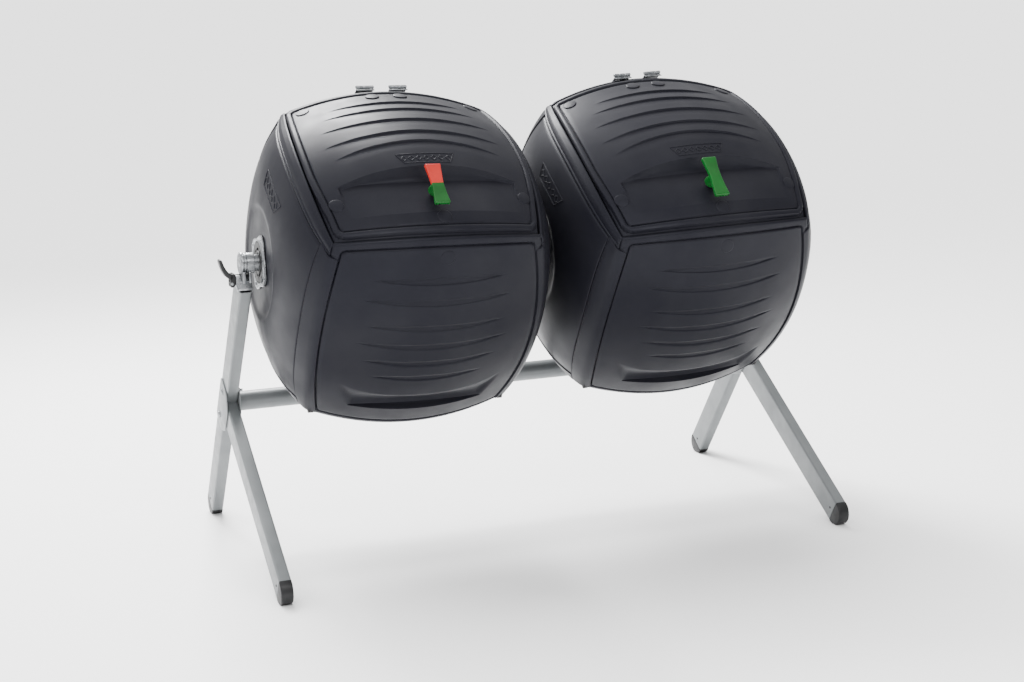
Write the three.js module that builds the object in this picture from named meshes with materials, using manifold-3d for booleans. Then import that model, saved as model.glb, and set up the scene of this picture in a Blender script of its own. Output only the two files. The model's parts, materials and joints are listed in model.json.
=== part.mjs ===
// Twin compost tumbler: two pillow-shaped plastic drums that turn on one axle, held by a
// steel frame with a lambda-shaped pair of legs at each end and one round crossbar.
// Millimetres, +Z up, +X along the axle, -Y towards the user (the lids' side).
// The origin is on the ground, under the middle of the object's box.
import * as THREE from 'three';
import { mergeVertices } from 'three/addons/utils/BufferGeometryUtils.js';
import Module from 'manifold-3d';

const wasm = await Module();
wasm.setup();

// ---- driving dimensions ----
const AXLE_HEIGHT = 753; // where it rests on the saddles
const AXLE_FROM_ORIGIN_Y = -65.12; // the axle stands in front of the middle of the footprint
const DROOP = 1.68; // degrees that each half of the axle falls from its saddle to the middle
const DRUM_OFFSET = 350; // drum centre from the middle of the axle
const CORNER_RADIUS = 360; // the drum's eight corners, from the axle
const HALF_LENGTH = 250; // the drum's corners, from its own middle
const LID_TILT = { left: 31.1, right: 34.8 }; // degrees each lid leans forward from facing up
const EDGE_BOW = 35; // how far the four long edges bow out at mid length
const RIM_BOW = 44.5; // how far the end rims bow outwards
const WIDTH_BOW = 24.5; // how far the end rims bow along the axle
const SIDE_CROWN = 20; // extra crown in the middle of each side
const END_DOME = 95; // height of each end's dome above the corners
const END_FULLNESS = 4; // power of the dome: higher is flatter on top
const WALL = 0.976; // inner skin as a share of the outer one, about 8 mm of wall
const SEAM = 0.994; // share of a face that its panel fills, which leaves the seams
const LID_SEAM = 0.989;

const HUB_FLOOR = 334; // plane of the round hub seat, from the drum's middle
const HUB_SEAT_RADIUS = 128;
const HUB_SEAT_EDGE = 142;
const BUSH_HOLE_RADIUS = 34;

const AXLE_RADIUS = 21;
const AXLE_END = 724;
const AXLE_WALL = 2.5;

const LEG_X = 730; // middle plane of each pair of legs
const TUBE_WIDTH = 30; // along X
const TUBE_DEPTH = 64;
const TUBE_WALL = 1.8;
const TUBE_CORNER = 5;
const LEG_TOP = { y: -12, z: 701 };
const LEG_JOINT = { y: 247.5, z: 361.5 };
const REAR_FOOT = { y: 498.5, z: 33 };
const FRONT_FOOT = { y: -286, z: 33 };
const CROSSBAR_RADIUS = 25;
const PLATE = 3; // thickness of the frame's steel plates
const GAP = 0.4; // between pieces that touch
const BOLT_PITCH = 88; // the two bolts of each leg joint
const BOLT_RADIUS = 4;
const FOOT_NOSE = 36; // how far a foot cap's round nose reaches past the tube
const SADDLE_HALF_X = TUBE_WIDTH / 2 + GAP + PLATE;
const RING = [703, 721]; // along X, the saddle's ring round the axle
const RING_WALL = 4;
const RING_PLAY = 0.7;
const CAP_RADIUS = 27.5;
const CAP_THICKNESS = 6;
const LEVER_PIN = { x: LEG_X + 29, y: -30, z: 710 };
const LEVER_PIN_RADIUS = 2.5;
const LEVER_HALF_Y = 12;

const LATCH_V = -0.6; // place of the latch on the lid, from -1 at its front edge to 1
const LATCH_RISE = 24; // underside of the handle above the lid's skin
const LATCH_LENGTH = 112;
const HANDLE_THICKNESS = 11;
const HANDLE_BEVEL = 2;
const SPINDLE_RADIUS = 7;
const COLLAR_FOOT = -5;
const TONGUE_DEPTH = 40;
const TONGUE_THICKNESS = 6;
const TONGUE_WIDTH = 26;
const TONGUE_REACH = 112;
const TONGUE_HEEL = 16; // what the tongue has behind its axis
const HINGE_X = 42; // each hinge, from the middle of the lid
const HINGE_WIDTH = 42;
const HINGE_RADIUS = 416.5; // hinge pin's axis, from the drum's axis
const PIN_RADIUS = 3.5;
const LEAF_LEAN = 66; // degrees from the level down to the rear leaf, in the lid's own frame
const HINGE_REACH = 26; // length of each leaf
const LEAF_THICKNESS = 2.5;
const KNUCKLE_RADIUS = 6.5;
const HUB_LOBE = { mean: 66, swing: 8 }; // radius of the lobed hub plate
const BUSH_FLANGE_RADIUS = 42;
const BUSH_SLEEVE_LENGTH = 26;

const DEG = Math.PI / 180;
const HALF_SIDE = CORNER_RADIUS / Math.SQRT2;

// ---- materials ----
function finish(color, roughness, metalness) {
  return () => new THREE.MeshStandardMaterial({ color, roughness, metalness });
}
const drumPlastic = finish(0x2a2b31, 0.5, 0);
const blackPlastic = finish(0x17181a, 0.5, 0);
const framePaint = finish(0xaab0b2, 0.45, 0.3);
const zinc = finish(0xb9bdc1, 0.3, 0.9);
const handlePlastic = finish(0x1f7a35, 0.4, 0);

// ---- solids ----
function toSolid(geometry) {
  const bare = geometry.clone();
  bare.deleteAttribute('normal');
  bare.deleteAttribute('uv');
  const welded = mergeVertices(bare, 1e-4);
  const mesh = new wasm.Mesh({
    numProp: 3,
    vertProperties: new Float32Array(welded.attributes.position.array),
    triVerts: new Uint32Array(welded.index.array),
  });
  return new wasm.Manifold(mesh);
}

function toGeometry(solid) {
  const mesh = solid.getMesh();
  const geometry = new THREE.BufferGeometry();
  geometry.setAttribute('position', new THREE.BufferAttribute(mesh.vertProperties, 3));
  geometry.setIndex(new THREE.BufferAttribute(mesh.triVerts, 1));
  return geometry;
}

function cut(geometry, ...tools) {
  return toGeometry(tools.reduce((solid, tool) => solid.subtract(toSolid(tool)), toSolid(geometry)));
}

function join(geometry, ...others) {
  return toGeometry(others.reduce((solid, other) => solid.add(toSolid(other)), toSolid(geometry)));
}

// A cylinder from one point to another.
function rod(from, to, radius, sides = 20) {
  const axis = new THREE.Vector3().subVectors(to, from);
  const geometry = new THREE.CylinderGeometry(radius, radius, axis.length(), sides);
  const turn = new THREE.Quaternion().setFromUnitVectors(
    new THREE.Vector3(0, 1, 0), axis.clone().normalize());
  geometry.applyQuaternion(turn);
  const middle = new THREE.Vector3().addVectors(from, to).multiplyScalar(0.5);
  return geometry.translate(middle.x, middle.y, middle.z);
}

function block(width, depth, height, x = 0, y = 0, z = 0) {
  return new THREE.BoxGeometry(width, depth, height).translate(x, y, z);
}

// An outline drawn in (y, z) and extruded along X from x0 to x1.
function plateYZ(points, x0, x1) {
  const shape = points instanceof THREE.Shape ? points : new THREE.Shape(points);
  const options = { depth: x1 - x0, bevelEnabled: false, curveSegments: 8 };
  const geometry = new THREE.ExtrudeGeometry(shape, options);
  const place = new THREE.Matrix4().set(0, 0, 1, x0, 1, 0, 0, 0, 0, 1, 0, 0, 0, 0, 0, 1);
  return geometry.applyMatrix4(place);
}

function vec(x, y, z) {
  return new THREE.Vector3(x, y, z);
}

// A closed wall between two sheets of points, sheet[i][j]. With wrap, j closes on itself.
function wallBetween(outer, inner, wrap = false) {
  const rows = outer.length;
  const cols = outer[0].length;
  const positions = [];
  for (const sheet of [outer, inner]) {
    for (const row of sheet) {
      for (const p of row) positions.push(p.x, p.y, p.z);
    }
  }
  const at = (sheet, i, j) => sheet * rows * cols + i * cols + (j % cols);
  const index = [];
  const quad = (a, b, c, d) => index.push(a, b, c, a, c, d);
  const spans = wrap ? cols : cols - 1;
  for (let i = 0; i < rows - 1; i += 1) {
    for (let j = 0; j < spans; j += 1) {
      quad(at(0, i, j), at(0, i + 1, j), at(0, i + 1, j + 1), at(0, i, j + 1));
      quad(at(1, i, j), at(1, i, j + 1), at(1, i + 1, j + 1), at(1, i + 1, j));
    }
  }
  for (let j = 0; j < spans; j += 1) {
    quad(at(0, 0, j), at(0, 0, j + 1), at(1, 0, j + 1), at(1, 0, j));
    quad(at(0, rows - 1, j), at(1, rows - 1, j), at(1, rows - 1, j + 1), at(0, rows - 1, j + 1));
  }
  for (let i = 0; i < rows - 1 && !wrap; i += 1) {
    quad(at(0, i, 0), at(1, i, 0), at(1, i + 1, 0), at(0, i + 1, 0));
    quad(at(0, i, cols - 1), at(0, i + 1, cols - 1), at(1, i + 1, cols - 1), at(1, i, cols - 1));
  }
  const geometry = new THREE.BufferGeometry();
  geometry.setAttribute('position', new THREE.Float32BufferAttribute(positions, 3));
  geometry.setIndex(index);
  return geometry;
}

function evenly(count, limit) {
  return Array.from({ length: count + 1 }, (_, i) => limit * (2 * i / count - 1));
}

function smooth(from, to, value) {
  return THREE.MathUtils.smoothstep(value, from, to);
}

// ---- the drum's skin ----
// A side of the drum, facing +Z: u runs along the axle and v round it, both from -1 to 1.
function sidePoint(u, v) {
  const bowU = 1 - u * u;
  const bowV = 1 - v * v;
  const along = u * (HALF_LENGTH + WIDTH_BOW * bowV);
  const across = v * (HALF_SIDE + EDGE_BOW * bowU);
  const out = HALF_SIDE + EDGE_BOW * bowU + RIM_BOW * bowV + SIDE_CROWN * bowU * bowV;
  return vec(along, across, out);
}

// An end of the drum, facing +X: a and b run across it, both from -1 to 1.
function endPoint(a, b) {
  const bowA = 1 - a * a;
  const bowB = 1 - b * b;
  const crown = (1 - Math.abs(a) ** END_FULLNESS) * (1 - Math.abs(b) ** END_FULLNESS);
  const out = HALF_LENGTH + WIDTH_BOW * (bowA + bowB) + (END_DOME - 2 * WIDTH_BOW) * crown;
  const y = a * (HALF_SIDE + RIM_BOW * bowB);
  const z = b * (HALF_SIDE + RIM_BOW * bowA);
  const seat = 1 - smooth(HUB_SEAT_RADIUS, HUB_SEAT_EDGE, Math.hypot(y, z));
  return vec(THREE.MathUtils.lerp(out, HUB_FLOOR, seat), y, z);
}

// The hand recess in the lid: how far the skin is sunk at (u, v).
const RECESS = { halfWidth: 0.78, bottom: -0.79, top: -0.34, topAtEnds: -0.49, depth: 22 };
function recessDepth(u, v) {
  const reach = 1 - (u / RECESS.halfWidth) ** 2;
  if (reach <= 0) return 0;
  const arch = RECESS.topAtEnds + (RECESS.top - RECESS.topAtEnds) * reach;
  const floor = smooth(RECESS.bottom, arch - 0.08, v) * (1 - smooth(arch - 0.08, arch, v));
  return RECESS.depth * floor * smooth(0, 0.2, reach);
}

function sidePanel(us, vs, sink = () => 0) {
  const sheet = (share) => us.map((u) => vs.map((v) => {
    const p = sidePoint(u, v);
    p.z -= sink(u, v);
    return p.multiplyScalar(share);
  }));
  return wallBetween(sheet(1), sheet(WALL));
}

// An end panel, facing +X, with a round hole for the bush and a seat round it.
function endPanel() {
  const spokes = 32; // a multiple of eight, so the corners are met
  const holeShare = BUSH_HOLE_RADIUS / (HALF_SIDE + RIM_BOW);
  const rings = [holeShare, 0.42, 0.47, 0.62, 0.78, 0.9, SEAM];
  const point = (rho, k) => {
    const angle = k * 2 * Math.PI / spokes;
    const c = Math.cos(angle);
    const s = Math.sin(angle);
    const square = 1 / Math.max(Math.abs(c), Math.abs(s));
    const reach = rho * THREE.MathUtils.lerp(1, square, rho * rho);
    return endPoint(c * reach, s * reach);
  };
  const spokeList = Array.from({ length: spokes }, (_, k) => k);
  const outer = rings.map((rho) => spokeList.map((k) => point(rho, k)));
  const inner = outer.map((row, i) => row.map((p) => {
    const q = p.clone().multiplyScalar(WALL);
    if (i === 0) q.set(q.x, p.y, p.z);
    return q;
  }));
  return wallBetween(outer, inner, true);
}

// ---- scene graph ----
const tumbler = new THREE.Group();
tumbler.position.set(0, AXLE_FROM_ORIGIN_Y, 0);

// A point of the axle's centre line, which droops to the middle.
function axlePoint(x) {
  return vec(x, 0, AXLE_HEIGHT + (Math.abs(x) - LEG_X) * Math.tan(DROOP * DEG));
}

function addMesh(parent, name, geometry, material) {
  const mesh = new THREE.Mesh(geometry, material());
  mesh.name = name;
  parent.add(mesh);
  return mesh;
}

// ---- frame ----
function pointOnLeg(from, to, distance, offset = 0) {
  const length = Math.hypot(to.y - from.y, to.z - from.z);
  const ty = (to.y - from.y) / length;
  const tz = (to.z - from.z) / length;
  return new THREE.Vector2(from.y + ty * distance - tz * offset, from.z + tz * distance + ty * offset);
}

// The tube's section with softened corners, widths along X and across the leg.
function tubeOutline(inset) {
  const halfX = TUBE_WIDTH / 2 - inset;
  const halfD = TUBE_DEPTH / 2 - inset;
  const corner = TUBE_CORNER - inset;
  return [
    [halfX, halfD - corner], [halfX - corner, halfD], [corner - halfX, halfD], [-halfX, halfD - corner],
    [-halfX, corner - halfD], [corner - halfX, -halfD], [halfX - corner, -halfD], [halfX, corner - halfD],
  ].map(([x, y]) => new THREE.Vector2(x, y));
}

// A hollow rectangular tube in the plane X = x, from one (y, z) point to another.
function legTube(x, from, to) {
  const length = Math.hypot(to.y - from.y, to.z - from.z);
  const shape = new THREE.Shape(tubeOutline(0));
  shape.holes.push(new THREE.Path(tubeOutline(TUBE_WALL)));
  const geometry = new THREE.ExtrudeGeometry(shape, { depth: length, bevelEnabled: false });
  geometry.rotateX(Math.atan2(-(to.y - from.y), to.z - from.z));
  return geometry.translate(x, from.y, from.z);
}

// Where the front leg stops, just clear of the main leg's front face.
function frontLegShape(x) {
  const reach = TUBE_DEPTH;
  const start = pointOnLeg(LEG_JOINT, FRONT_FOOT, -reach / 2);
  const tube = legTube(x, { y: start.x, z: start.y }, FRONT_FOOT);
  const half = TUBE_DEPTH / 2 + GAP;
  const keepOut = [
    pointOnLeg(LEG_TOP, REAR_FOOT, 0, -half), pointOnLeg(LEG_TOP, REAR_FOOT, 800, -half),
    pointOnLeg(LEG_TOP, REAR_FOOT, 800, 4 * half), pointOnLeg(LEG_TOP, REAR_FOOT, 0, 4 * half),
  ];
  return cut(tube, plateYZ(keepOut, x - TUBE_WIDTH, x + TUBE_WIDTH));
}

// A rounded plastic foot that plugs the end of a leg and rests flat on the ground.
function footCap(x, from, foot) {
  const length = Math.hypot(foot.y - from.y, foot.z - from.z);
  const ty = (foot.y - from.y) / length;
  const tz = (foot.z - from.z) / length;
  const at = (along, across) => new THREE.Vector2(
    foot.y + ty * along - tz * across, foot.z + tz * along + ty * across);
  const half = TUBE_DEPTH / 2;
  const collar = 4;
  const outline = [at(GAP, -half)];
  const steps = 10;
  for (let i = 0; i <= steps; i += 1) {
    const angle = Math.PI * (i / steps - 0.5);
    outline.push(at(collar + (FOOT_NOSE - collar) * Math.cos(angle), half * Math.sin(angle)));
  }
  outline.push(at(GAP, half));
  const halfX = TUBE_WIDTH / 2;
  const cap = plateYZ(outline, x - halfX, x + halfX);
  const plugHalf = half - TUBE_WALL - GAP - TUBE_CORNER;
  const plug = plateYZ([at(2, -plugHalf), at(2, plugHalf), at(-24, plugHalf), at(-24, -plugHalf)],
    x - halfX + TUBE_WALL + 2, x + halfX - TUBE_WALL - 2);
  const ground = block(200, 400, 200, x, foot.y, -100);
  return cut(join(cap, plug), ground);
}

function gussetOutline() {
  return [[-68, 29], [72, 29], [72, -30], [36, -64], [-32, -66], [-72, -34]].map(
    ([along, across]) => {
      const length = Math.hypot(LEG_JOINT.y - LEG_TOP.y, LEG_JOINT.z - LEG_TOP.z);
      return pointOnLeg(LEG_TOP, LEG_JOINT, length + along, across);
    });
}

function boltPlaces() {
  const length = Math.hypot(LEG_JOINT.y - LEG_TOP.y, LEG_JOINT.z - LEG_TOP.z);
  return [-BOLT_PITCH / 2, BOLT_PITCH / 2].map((along) => pointOnLeg(LEG_TOP, LEG_JOINT, length + along));
}

function boltHoles(x) {
  const reach = TUBE_WIDTH;
  const radius = BOLT_RADIUS + GAP;
  return boltPlaces().map((p) => rod(vec(x - reach, p.x, p.y), vec(x + reach, p.x, p.y), radius, 8));
}

// A carriage bolt through both gussets, with its nut on the inner side.
function jointBolt(side, place) {
  const outerFace = side * (LEG_X + TUBE_WIDTH / 2 + GAP + PLATE + GAP);
  const innerFace = side * (LEG_X - TUBE_WIDTH / 2 - GAP - PLATE - GAP);
  const spot = (x) => vec(x, place.x, place.y);
  const head = rod(spot(outerFace), spot(outerFace + side * 4), 8.5, 12);
  const shank = rod(spot(outerFace + side), spot(innerFace - side * 14), BOLT_RADIUS, 8);
  const nut = rod(spot(innerFace), spot(innerFace - side * 6.5), 7.5, 6);
  return join(shank, head, nut);
}

// The saddle that holds the axle's end on top of the main leg.
function saddle(side) {
  const x = side * LEG_X;
  const [inside, outside] = RING;
  const cheek = pointOnLeg(LEG_TOP, LEG_JOINT, 12);
  const ring = rod(axlePoint(side * inside), axlePoint(side * outside), AXLE_RADIUS + RING_WALL, 24);
  const lean = Math.atan2(LEG_JOINT.y - LEG_TOP.y, LEG_TOP.z - LEG_JOINT.z);
  const shoe = block(2 * SADDLE_HALF_X, TUBE_DEPTH - 14, 36);
  shoe.rotateX(lean).translate(x, cheek.x, cheek.y);
  const neck = block(outside - inside, 30, 30, side * (inside + outside) / 2, -8, LEG_TOP.z + 20);
  const legSlot = block(TUBE_WIDTH + 2 * GAP, TUBE_DEPTH * 2, 200);
  legSlot.translate(0, 0, -100 + GAP).rotateX(lean).translate(x, LEG_TOP.y, LEG_TOP.z);
  const boreEnds = [inside - 20, outside + 20].map((reach) => axlePoint(side * reach));
  const bore = rod(...boreEnds, AXLE_RADIUS + RING_PLAY, 24);
  return cut(join(ring, shoe, neck), legSlot, bore);
}

// The axle: two straight halves welded in the middle, where it hangs lowest.
function axleTube() {
  const halves = (radius, past) => [-1, 1].map(
    (side) => rod(axlePoint(side * (AXLE_END + past)), axlePoint(0).setX(-side), radius, 24));
  const [left, right] = halves(AXLE_RADIUS, 0);
  return cut(join(left, right), ...halves(AXLE_RADIUS - AXLE_WALL, 1));
}

// The disc that closes the axle's end, with a spigot inside the tube.
function axleCap(side) {
  const start = AXLE_END + GAP;
  const disc = rod(axlePoint(side * start), axlePoint(side * (start + CAP_THICKNESS)), CAP_RADIUS, 20);
  const spigotRadius = AXLE_RADIUS - AXLE_WALL - RING_PLAY;
  const spigot = rod(axlePoint(side * (start + 1)), axlePoint(side * (start - 16)), spigotRadius, 16);
  return join(disc, spigot);
}

// The round tube between the inner gussets.
function crossbar() {
  const end = LEG_X - TUBE_WIDTH / 2 - PLATE - 2 * GAP;
  const bar = (reach, radius) => rod(
    vec(-reach, LEG_JOINT.y, LEG_JOINT.z), vec(reach, LEG_JOINT.y, LEG_JOINT.z), radius, 24);
  return cut(bar(end, CROSSBAR_RADIUS), bar(end + 1, CROSSBAR_RADIUS - TUBE_WALL));
}

const stand = new THREE.Group();
tumbler.add(stand);
const sides = { left: -1, right: 1 };
const gussetOffset = TUBE_WIDTH / 2 + GAP;
for (const [name, side] of Object.entries(sides)) {
  const x = side * LEG_X;
  addMesh(stand, `${name}_main_leg`, cut(legTube(x, LEG_TOP, REAR_FOOT), ...boltHoles(x)), framePaint);
  addMesh(stand, `${name}_front_leg`, frontLegShape(x), framePaint);
  for (const [place, sign] of [['outer', side], ['inner', -side]]) {
    const near = x + sign * gussetOffset;
    const far = near + sign * PLATE;
    const plate = plateYZ(gussetOutline(), Math.min(near, far), Math.max(near, far));
    addMesh(stand, `${name}_${place}_gusset`, cut(plate, ...boltHoles(x)), framePaint);
  }
  boltPlaces().forEach((place, i) => {
    addMesh(stand, `${name}_joint_bolt_${i + 1}`, jointBolt(side, place), zinc);
  });
  addMesh(stand, `${name}_rear_foot`, footCap(x, LEG_JOINT, REAR_FOOT), blackPlastic);
  addMesh(stand, `${name}_front_foot`, footCap(x, LEG_JOINT, FRONT_FOOT), blackPlastic);
  addMesh(stand, `${name}_axle_saddle`, saddle(side), zinc);
  addMesh(stand, `${name}_axle_cap`, axleCap(side), zinc);
}
addMesh(stand, 'crossbar', crossbar(), framePaint);
addMesh(stand, 'axle', axleTube(), zinc);

// ---- lock levers ----
// Each end has a curved lever on a pin in a small bracket outside the leg's top.
function leverBracket(side) {
  const face = side * (LEG_X + SADDLE_HALF_X + GAP);
  const sheet = 2;
  const earReach = 14;
  const halfWidth = LEVER_HALF_Y + 2 * GAP + sheet;
  const { y, z } = LEVER_PIN;
  const back = block(sheet, 2 * halfWidth, 26, face + side * sheet / 2, y, z);
  const ears = [-1, 1].map((end) => block(
    earReach, sheet, 16, face + side * earReach / 2, y + end * (halfWidth - sheet / 2), z));
  const pinEnd = (end) => vec(side * LEVER_PIN.x, y + end * halfWidth, z);
  return join(back, ...ears, rod(pinEnd(-1), pinEnd(1), LEVER_PIN_RADIUS, 12));
}

function leverShape(side) {
  const arm = new THREE.QuadraticBezierCurve(
    new THREE.Vector2(0, 6), new THREE.Vector2(4, 34), new THREE.Vector2(29, 54));
  const steps = 8;
  const thickness = (t) => 6 - 2.5 * t;
  const outline = [];
  for (let i = 0; i <= 6; i += 1) {
    const angle = Math.PI * (1 + i / 6);
    outline.push(new THREE.Vector2(7 * Math.cos(angle), 7 * Math.sin(angle)));
  }
  const points = arm.getPoints(steps);
  points.forEach((p, i) => {
    const slope = arm.getTangent(i / steps);
    const half = thickness(i / steps);
    outline.push(new THREE.Vector2(p.x + slope.y * half, p.y - slope.x * half));
  });
  points.reverse().forEach((p, i) => {
    const t = 1 - i / steps;
    const slope = arm.getTangent(t);
    const half = thickness(t);
    outline.push(new THREE.Vector2(p.x - slope.y * half, p.y + slope.x * half));
  });
  const shape = new THREE.Shape(outline);
  const arms = new THREE.ExtrudeGeometry(shape, { depth: 2 * LEVER_HALF_Y, bevelEnabled: false });
  arms.translate(0, 0, -LEVER_HALF_Y).rotateX(Math.PI / 2);
  const hole = rod(vec(0, -20, 0), vec(0, 20, 0), LEVER_PIN_RADIUS + GAP, 12);
  const body = cut(arms, hole);
  if (side < 0) body.rotateZ(Math.PI);
  return body;
}

for (const [name, side] of Object.entries(sides)) {
  addMesh(stand, `${name}_lever_bracket`, leverBracket(side), zinc);
  const lever = addMesh(stand, `${name}_lock_lever`, leverShape(side), blackPlastic);
  lever.position.set(side * LEVER_PIN.x, LEVER_PIN.y, LEVER_PIN.z);
}

// ---- drums ----
// The latch axis stands square to the lid's skin at (0, LATCH_V).
const latchFoot = sidePoint(0, LATCH_V);
const latchStep = new THREE.Vector3().subVectors(sidePoint(0, LATCH_V + 0.01), sidePoint(0, LATCH_V - 0.01));
const latchLean = Math.atan2(latchStep.z, latchStep.y);

// The handle is a bow tie seen from above, on a round spindle that goes through the lid.
function latchHandle() {
  const half = LATCH_LENGTH / 2;
  const bowTie = [[-18, -half], [18, -half], [13.5, 0], [18, half], [-18, half], [-13.5, 0]];
  const shape = new THREE.Shape(bowTie.map(([x, y]) => new THREE.Vector2(x, y)));
  const grip = new THREE.ExtrudeGeometry(shape, {
    depth: HANDLE_THICKNESS - 2 * HANDLE_BEVEL,
    bevelSize: HANDLE_BEVEL,
    bevelThickness: HANDLE_BEVEL,
    bevelOffset: -HANDLE_BEVEL,
    bevelSegments: 1,
  });
  grip.translate(0, 0, LATCH_RISE + HANDLE_BEVEL);
  const post = rod(vec(0, 0, -TONGUE_DEPTH), vec(0, 0, LATCH_RISE + 3), SPINDLE_RADIUS, 12);
  const collar = new THREE.LatheGeometry([
    new THREE.Vector2(0, LATCH_RISE + 2), new THREE.Vector2(11, LATCH_RISE + 2), new THREE.Vector2(12, 4),
    new THREE.Vector2(16, COLLAR_FOOT), new THREE.Vector2(0, COLLAR_FOOT),
  ].reverse(), 12).rotateX(Math.PI / 2);
  return join(grip, post, collar);
}

// The tongue lies along the lid at rest and swings behind the strike.
function latchTongue() {
  const middle = (TONGUE_HEEL - TONGUE_REACH) / 2;
  const depth = TONGUE_DEPTH + GAP + TONGUE_THICKNESS / 2;
  return block(TONGUE_REACH + TONGUE_HEEL, TONGUE_WIDTH, TONGUE_THICKNESS, middle, 0, -depth);
}

// A hinge: the base leaf on the rear panel carries the pin, the other leaf rides on the lid.
function hingePin(x) {
  const reach = HINGE_WIDTH / 2;
  return rod(vec(x - reach, 0, 0), vec(x + reach, 0, 0), PIN_RADIUS, 10);
}

function knuckle(x0, x1) {
  return rod(vec(x0, 0, 0), vec(x1, 0, 0), KNUCKLE_RADIUS, 12);
}

// A leaf lies in the X-direction strip on one side of the pin; lean is its angle in the YZ plane.
function hingeLeaf(x, lean, reach, onRear) {
  const third = HINGE_WIDTH / 3;
  const inward = onRear ? -1 : 1;
  const strap = block(HINGE_WIDTH, reach, LEAF_THICKNESS, x, reach / 2 + 3, inward * (KNUCKLE_RADIUS - 1.5));
  strap.rotateX(lean);
  const middle = knuckle(x - third / 2 + GAP, x + third / 2 - GAP);
  const outside = [knuckle(x - HINGE_WIDTH / 2, x - third / 2), knuckle(x + third / 2, x + HINGE_WIDTH / 2)];
  if (onRear) {
    const slot = rod(vec(x - third / 2, 0, 0), vec(x + third / 2, 0, 0), KNUCKLE_RADIUS + GAP, 12);
    return join(cut(join(strap, ...outside), slot), hingePin(x));
  }
  const endSlots = [
    rod(vec(x - HINGE_WIDTH / 2 - 1, 0, 0), vec(x - third / 2 + GAP, 0, 0), KNUCKLE_RADIUS + GAP, 12),
    rod(vec(x + third / 2 - GAP, 0, 0), vec(x + HINGE_WIDTH / 2 + 1, 0, 0), KNUCKLE_RADIUS + GAP, 12),
  ];
  const bore = rod(vec(x - HINGE_WIDTH, 0, 0), vec(x + HINGE_WIDTH, 0, 0), PIN_RADIUS + GAP, 10);
  return cut(join(strap, middle), ...endSlots, bore);
}

// The hub plate: a lobed steel ring, screwed to the seat, with an opening for the bush.
function hubPlate() {
  const outline = new THREE.Shape();
  const points = 32;
  for (let i = 0; i < points; i += 1) {
    const angle = i * 2 * Math.PI / points;
    const radius = HUB_LOBE.mean + HUB_LOBE.swing * Math.cos(4 * angle);
    const spot = [radius * Math.cos(angle), radius * Math.sin(angle)];
    if (i === 0) outline.moveTo(...spot);
    else outline.lineTo(...spot);
  }
  const hole = new THREE.Path();
  hole.absarc(0, 0, BUSH_FLANGE_RADIUS + 1, 0, 2 * Math.PI);
  outline.holes.push(hole);
  return plateYZ(outline, HUB_FLOOR + GAP, HUB_FLOOR + GAP + PLATE);
}

// The plastic bush that turns on the axle: a flange outside the wall and a sleeve through it.
function bush() {
  const inner = AXLE_RADIUS + GAP;
  const sleeve = BUSH_HOLE_RADIUS - 1;
  const tail = HUB_FLOOR - BUSH_SLEEVE_LENGTH;
  const seat = HUB_FLOOR + GAP;
  const face = HUB_FLOOR + 6;
  const profile = [
    [inner, tail], [sleeve, tail], [sleeve, seat], [BUSH_FLANGE_RADIUS, seat],
    [BUSH_FLANGE_RADIUS - 2, face], [inner, face], [inner, tail],
  ].map(([radius, x]) => new THREE.Vector2(radius, x));
  return new THREE.LatheGeometry(profile, 24).rotateZ(-Math.PI / 2);
}

// The strike: an angle of steel behind the top edge of the front panel, which the tongue
// swings behind.
function latchStrike() {
  return block(60, 22, 3).translate(0, -271, 270);
}

const lidUs = [-1, -0.93, -0.8, -0.76, -0.6, -0.4, -0.2, 0, 0.2, 0.4, 0.6, 0.76, 0.8, 0.93, 1];
const lidVs = [-1, -0.93, -0.8, -0.7, -0.58, -0.5, -0.43, -0.35, -0.2, 0.05, 0.3, 0.55, 0.8, 1];
const fit = (values, limit) => values.map((value) => value * limit);

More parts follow.
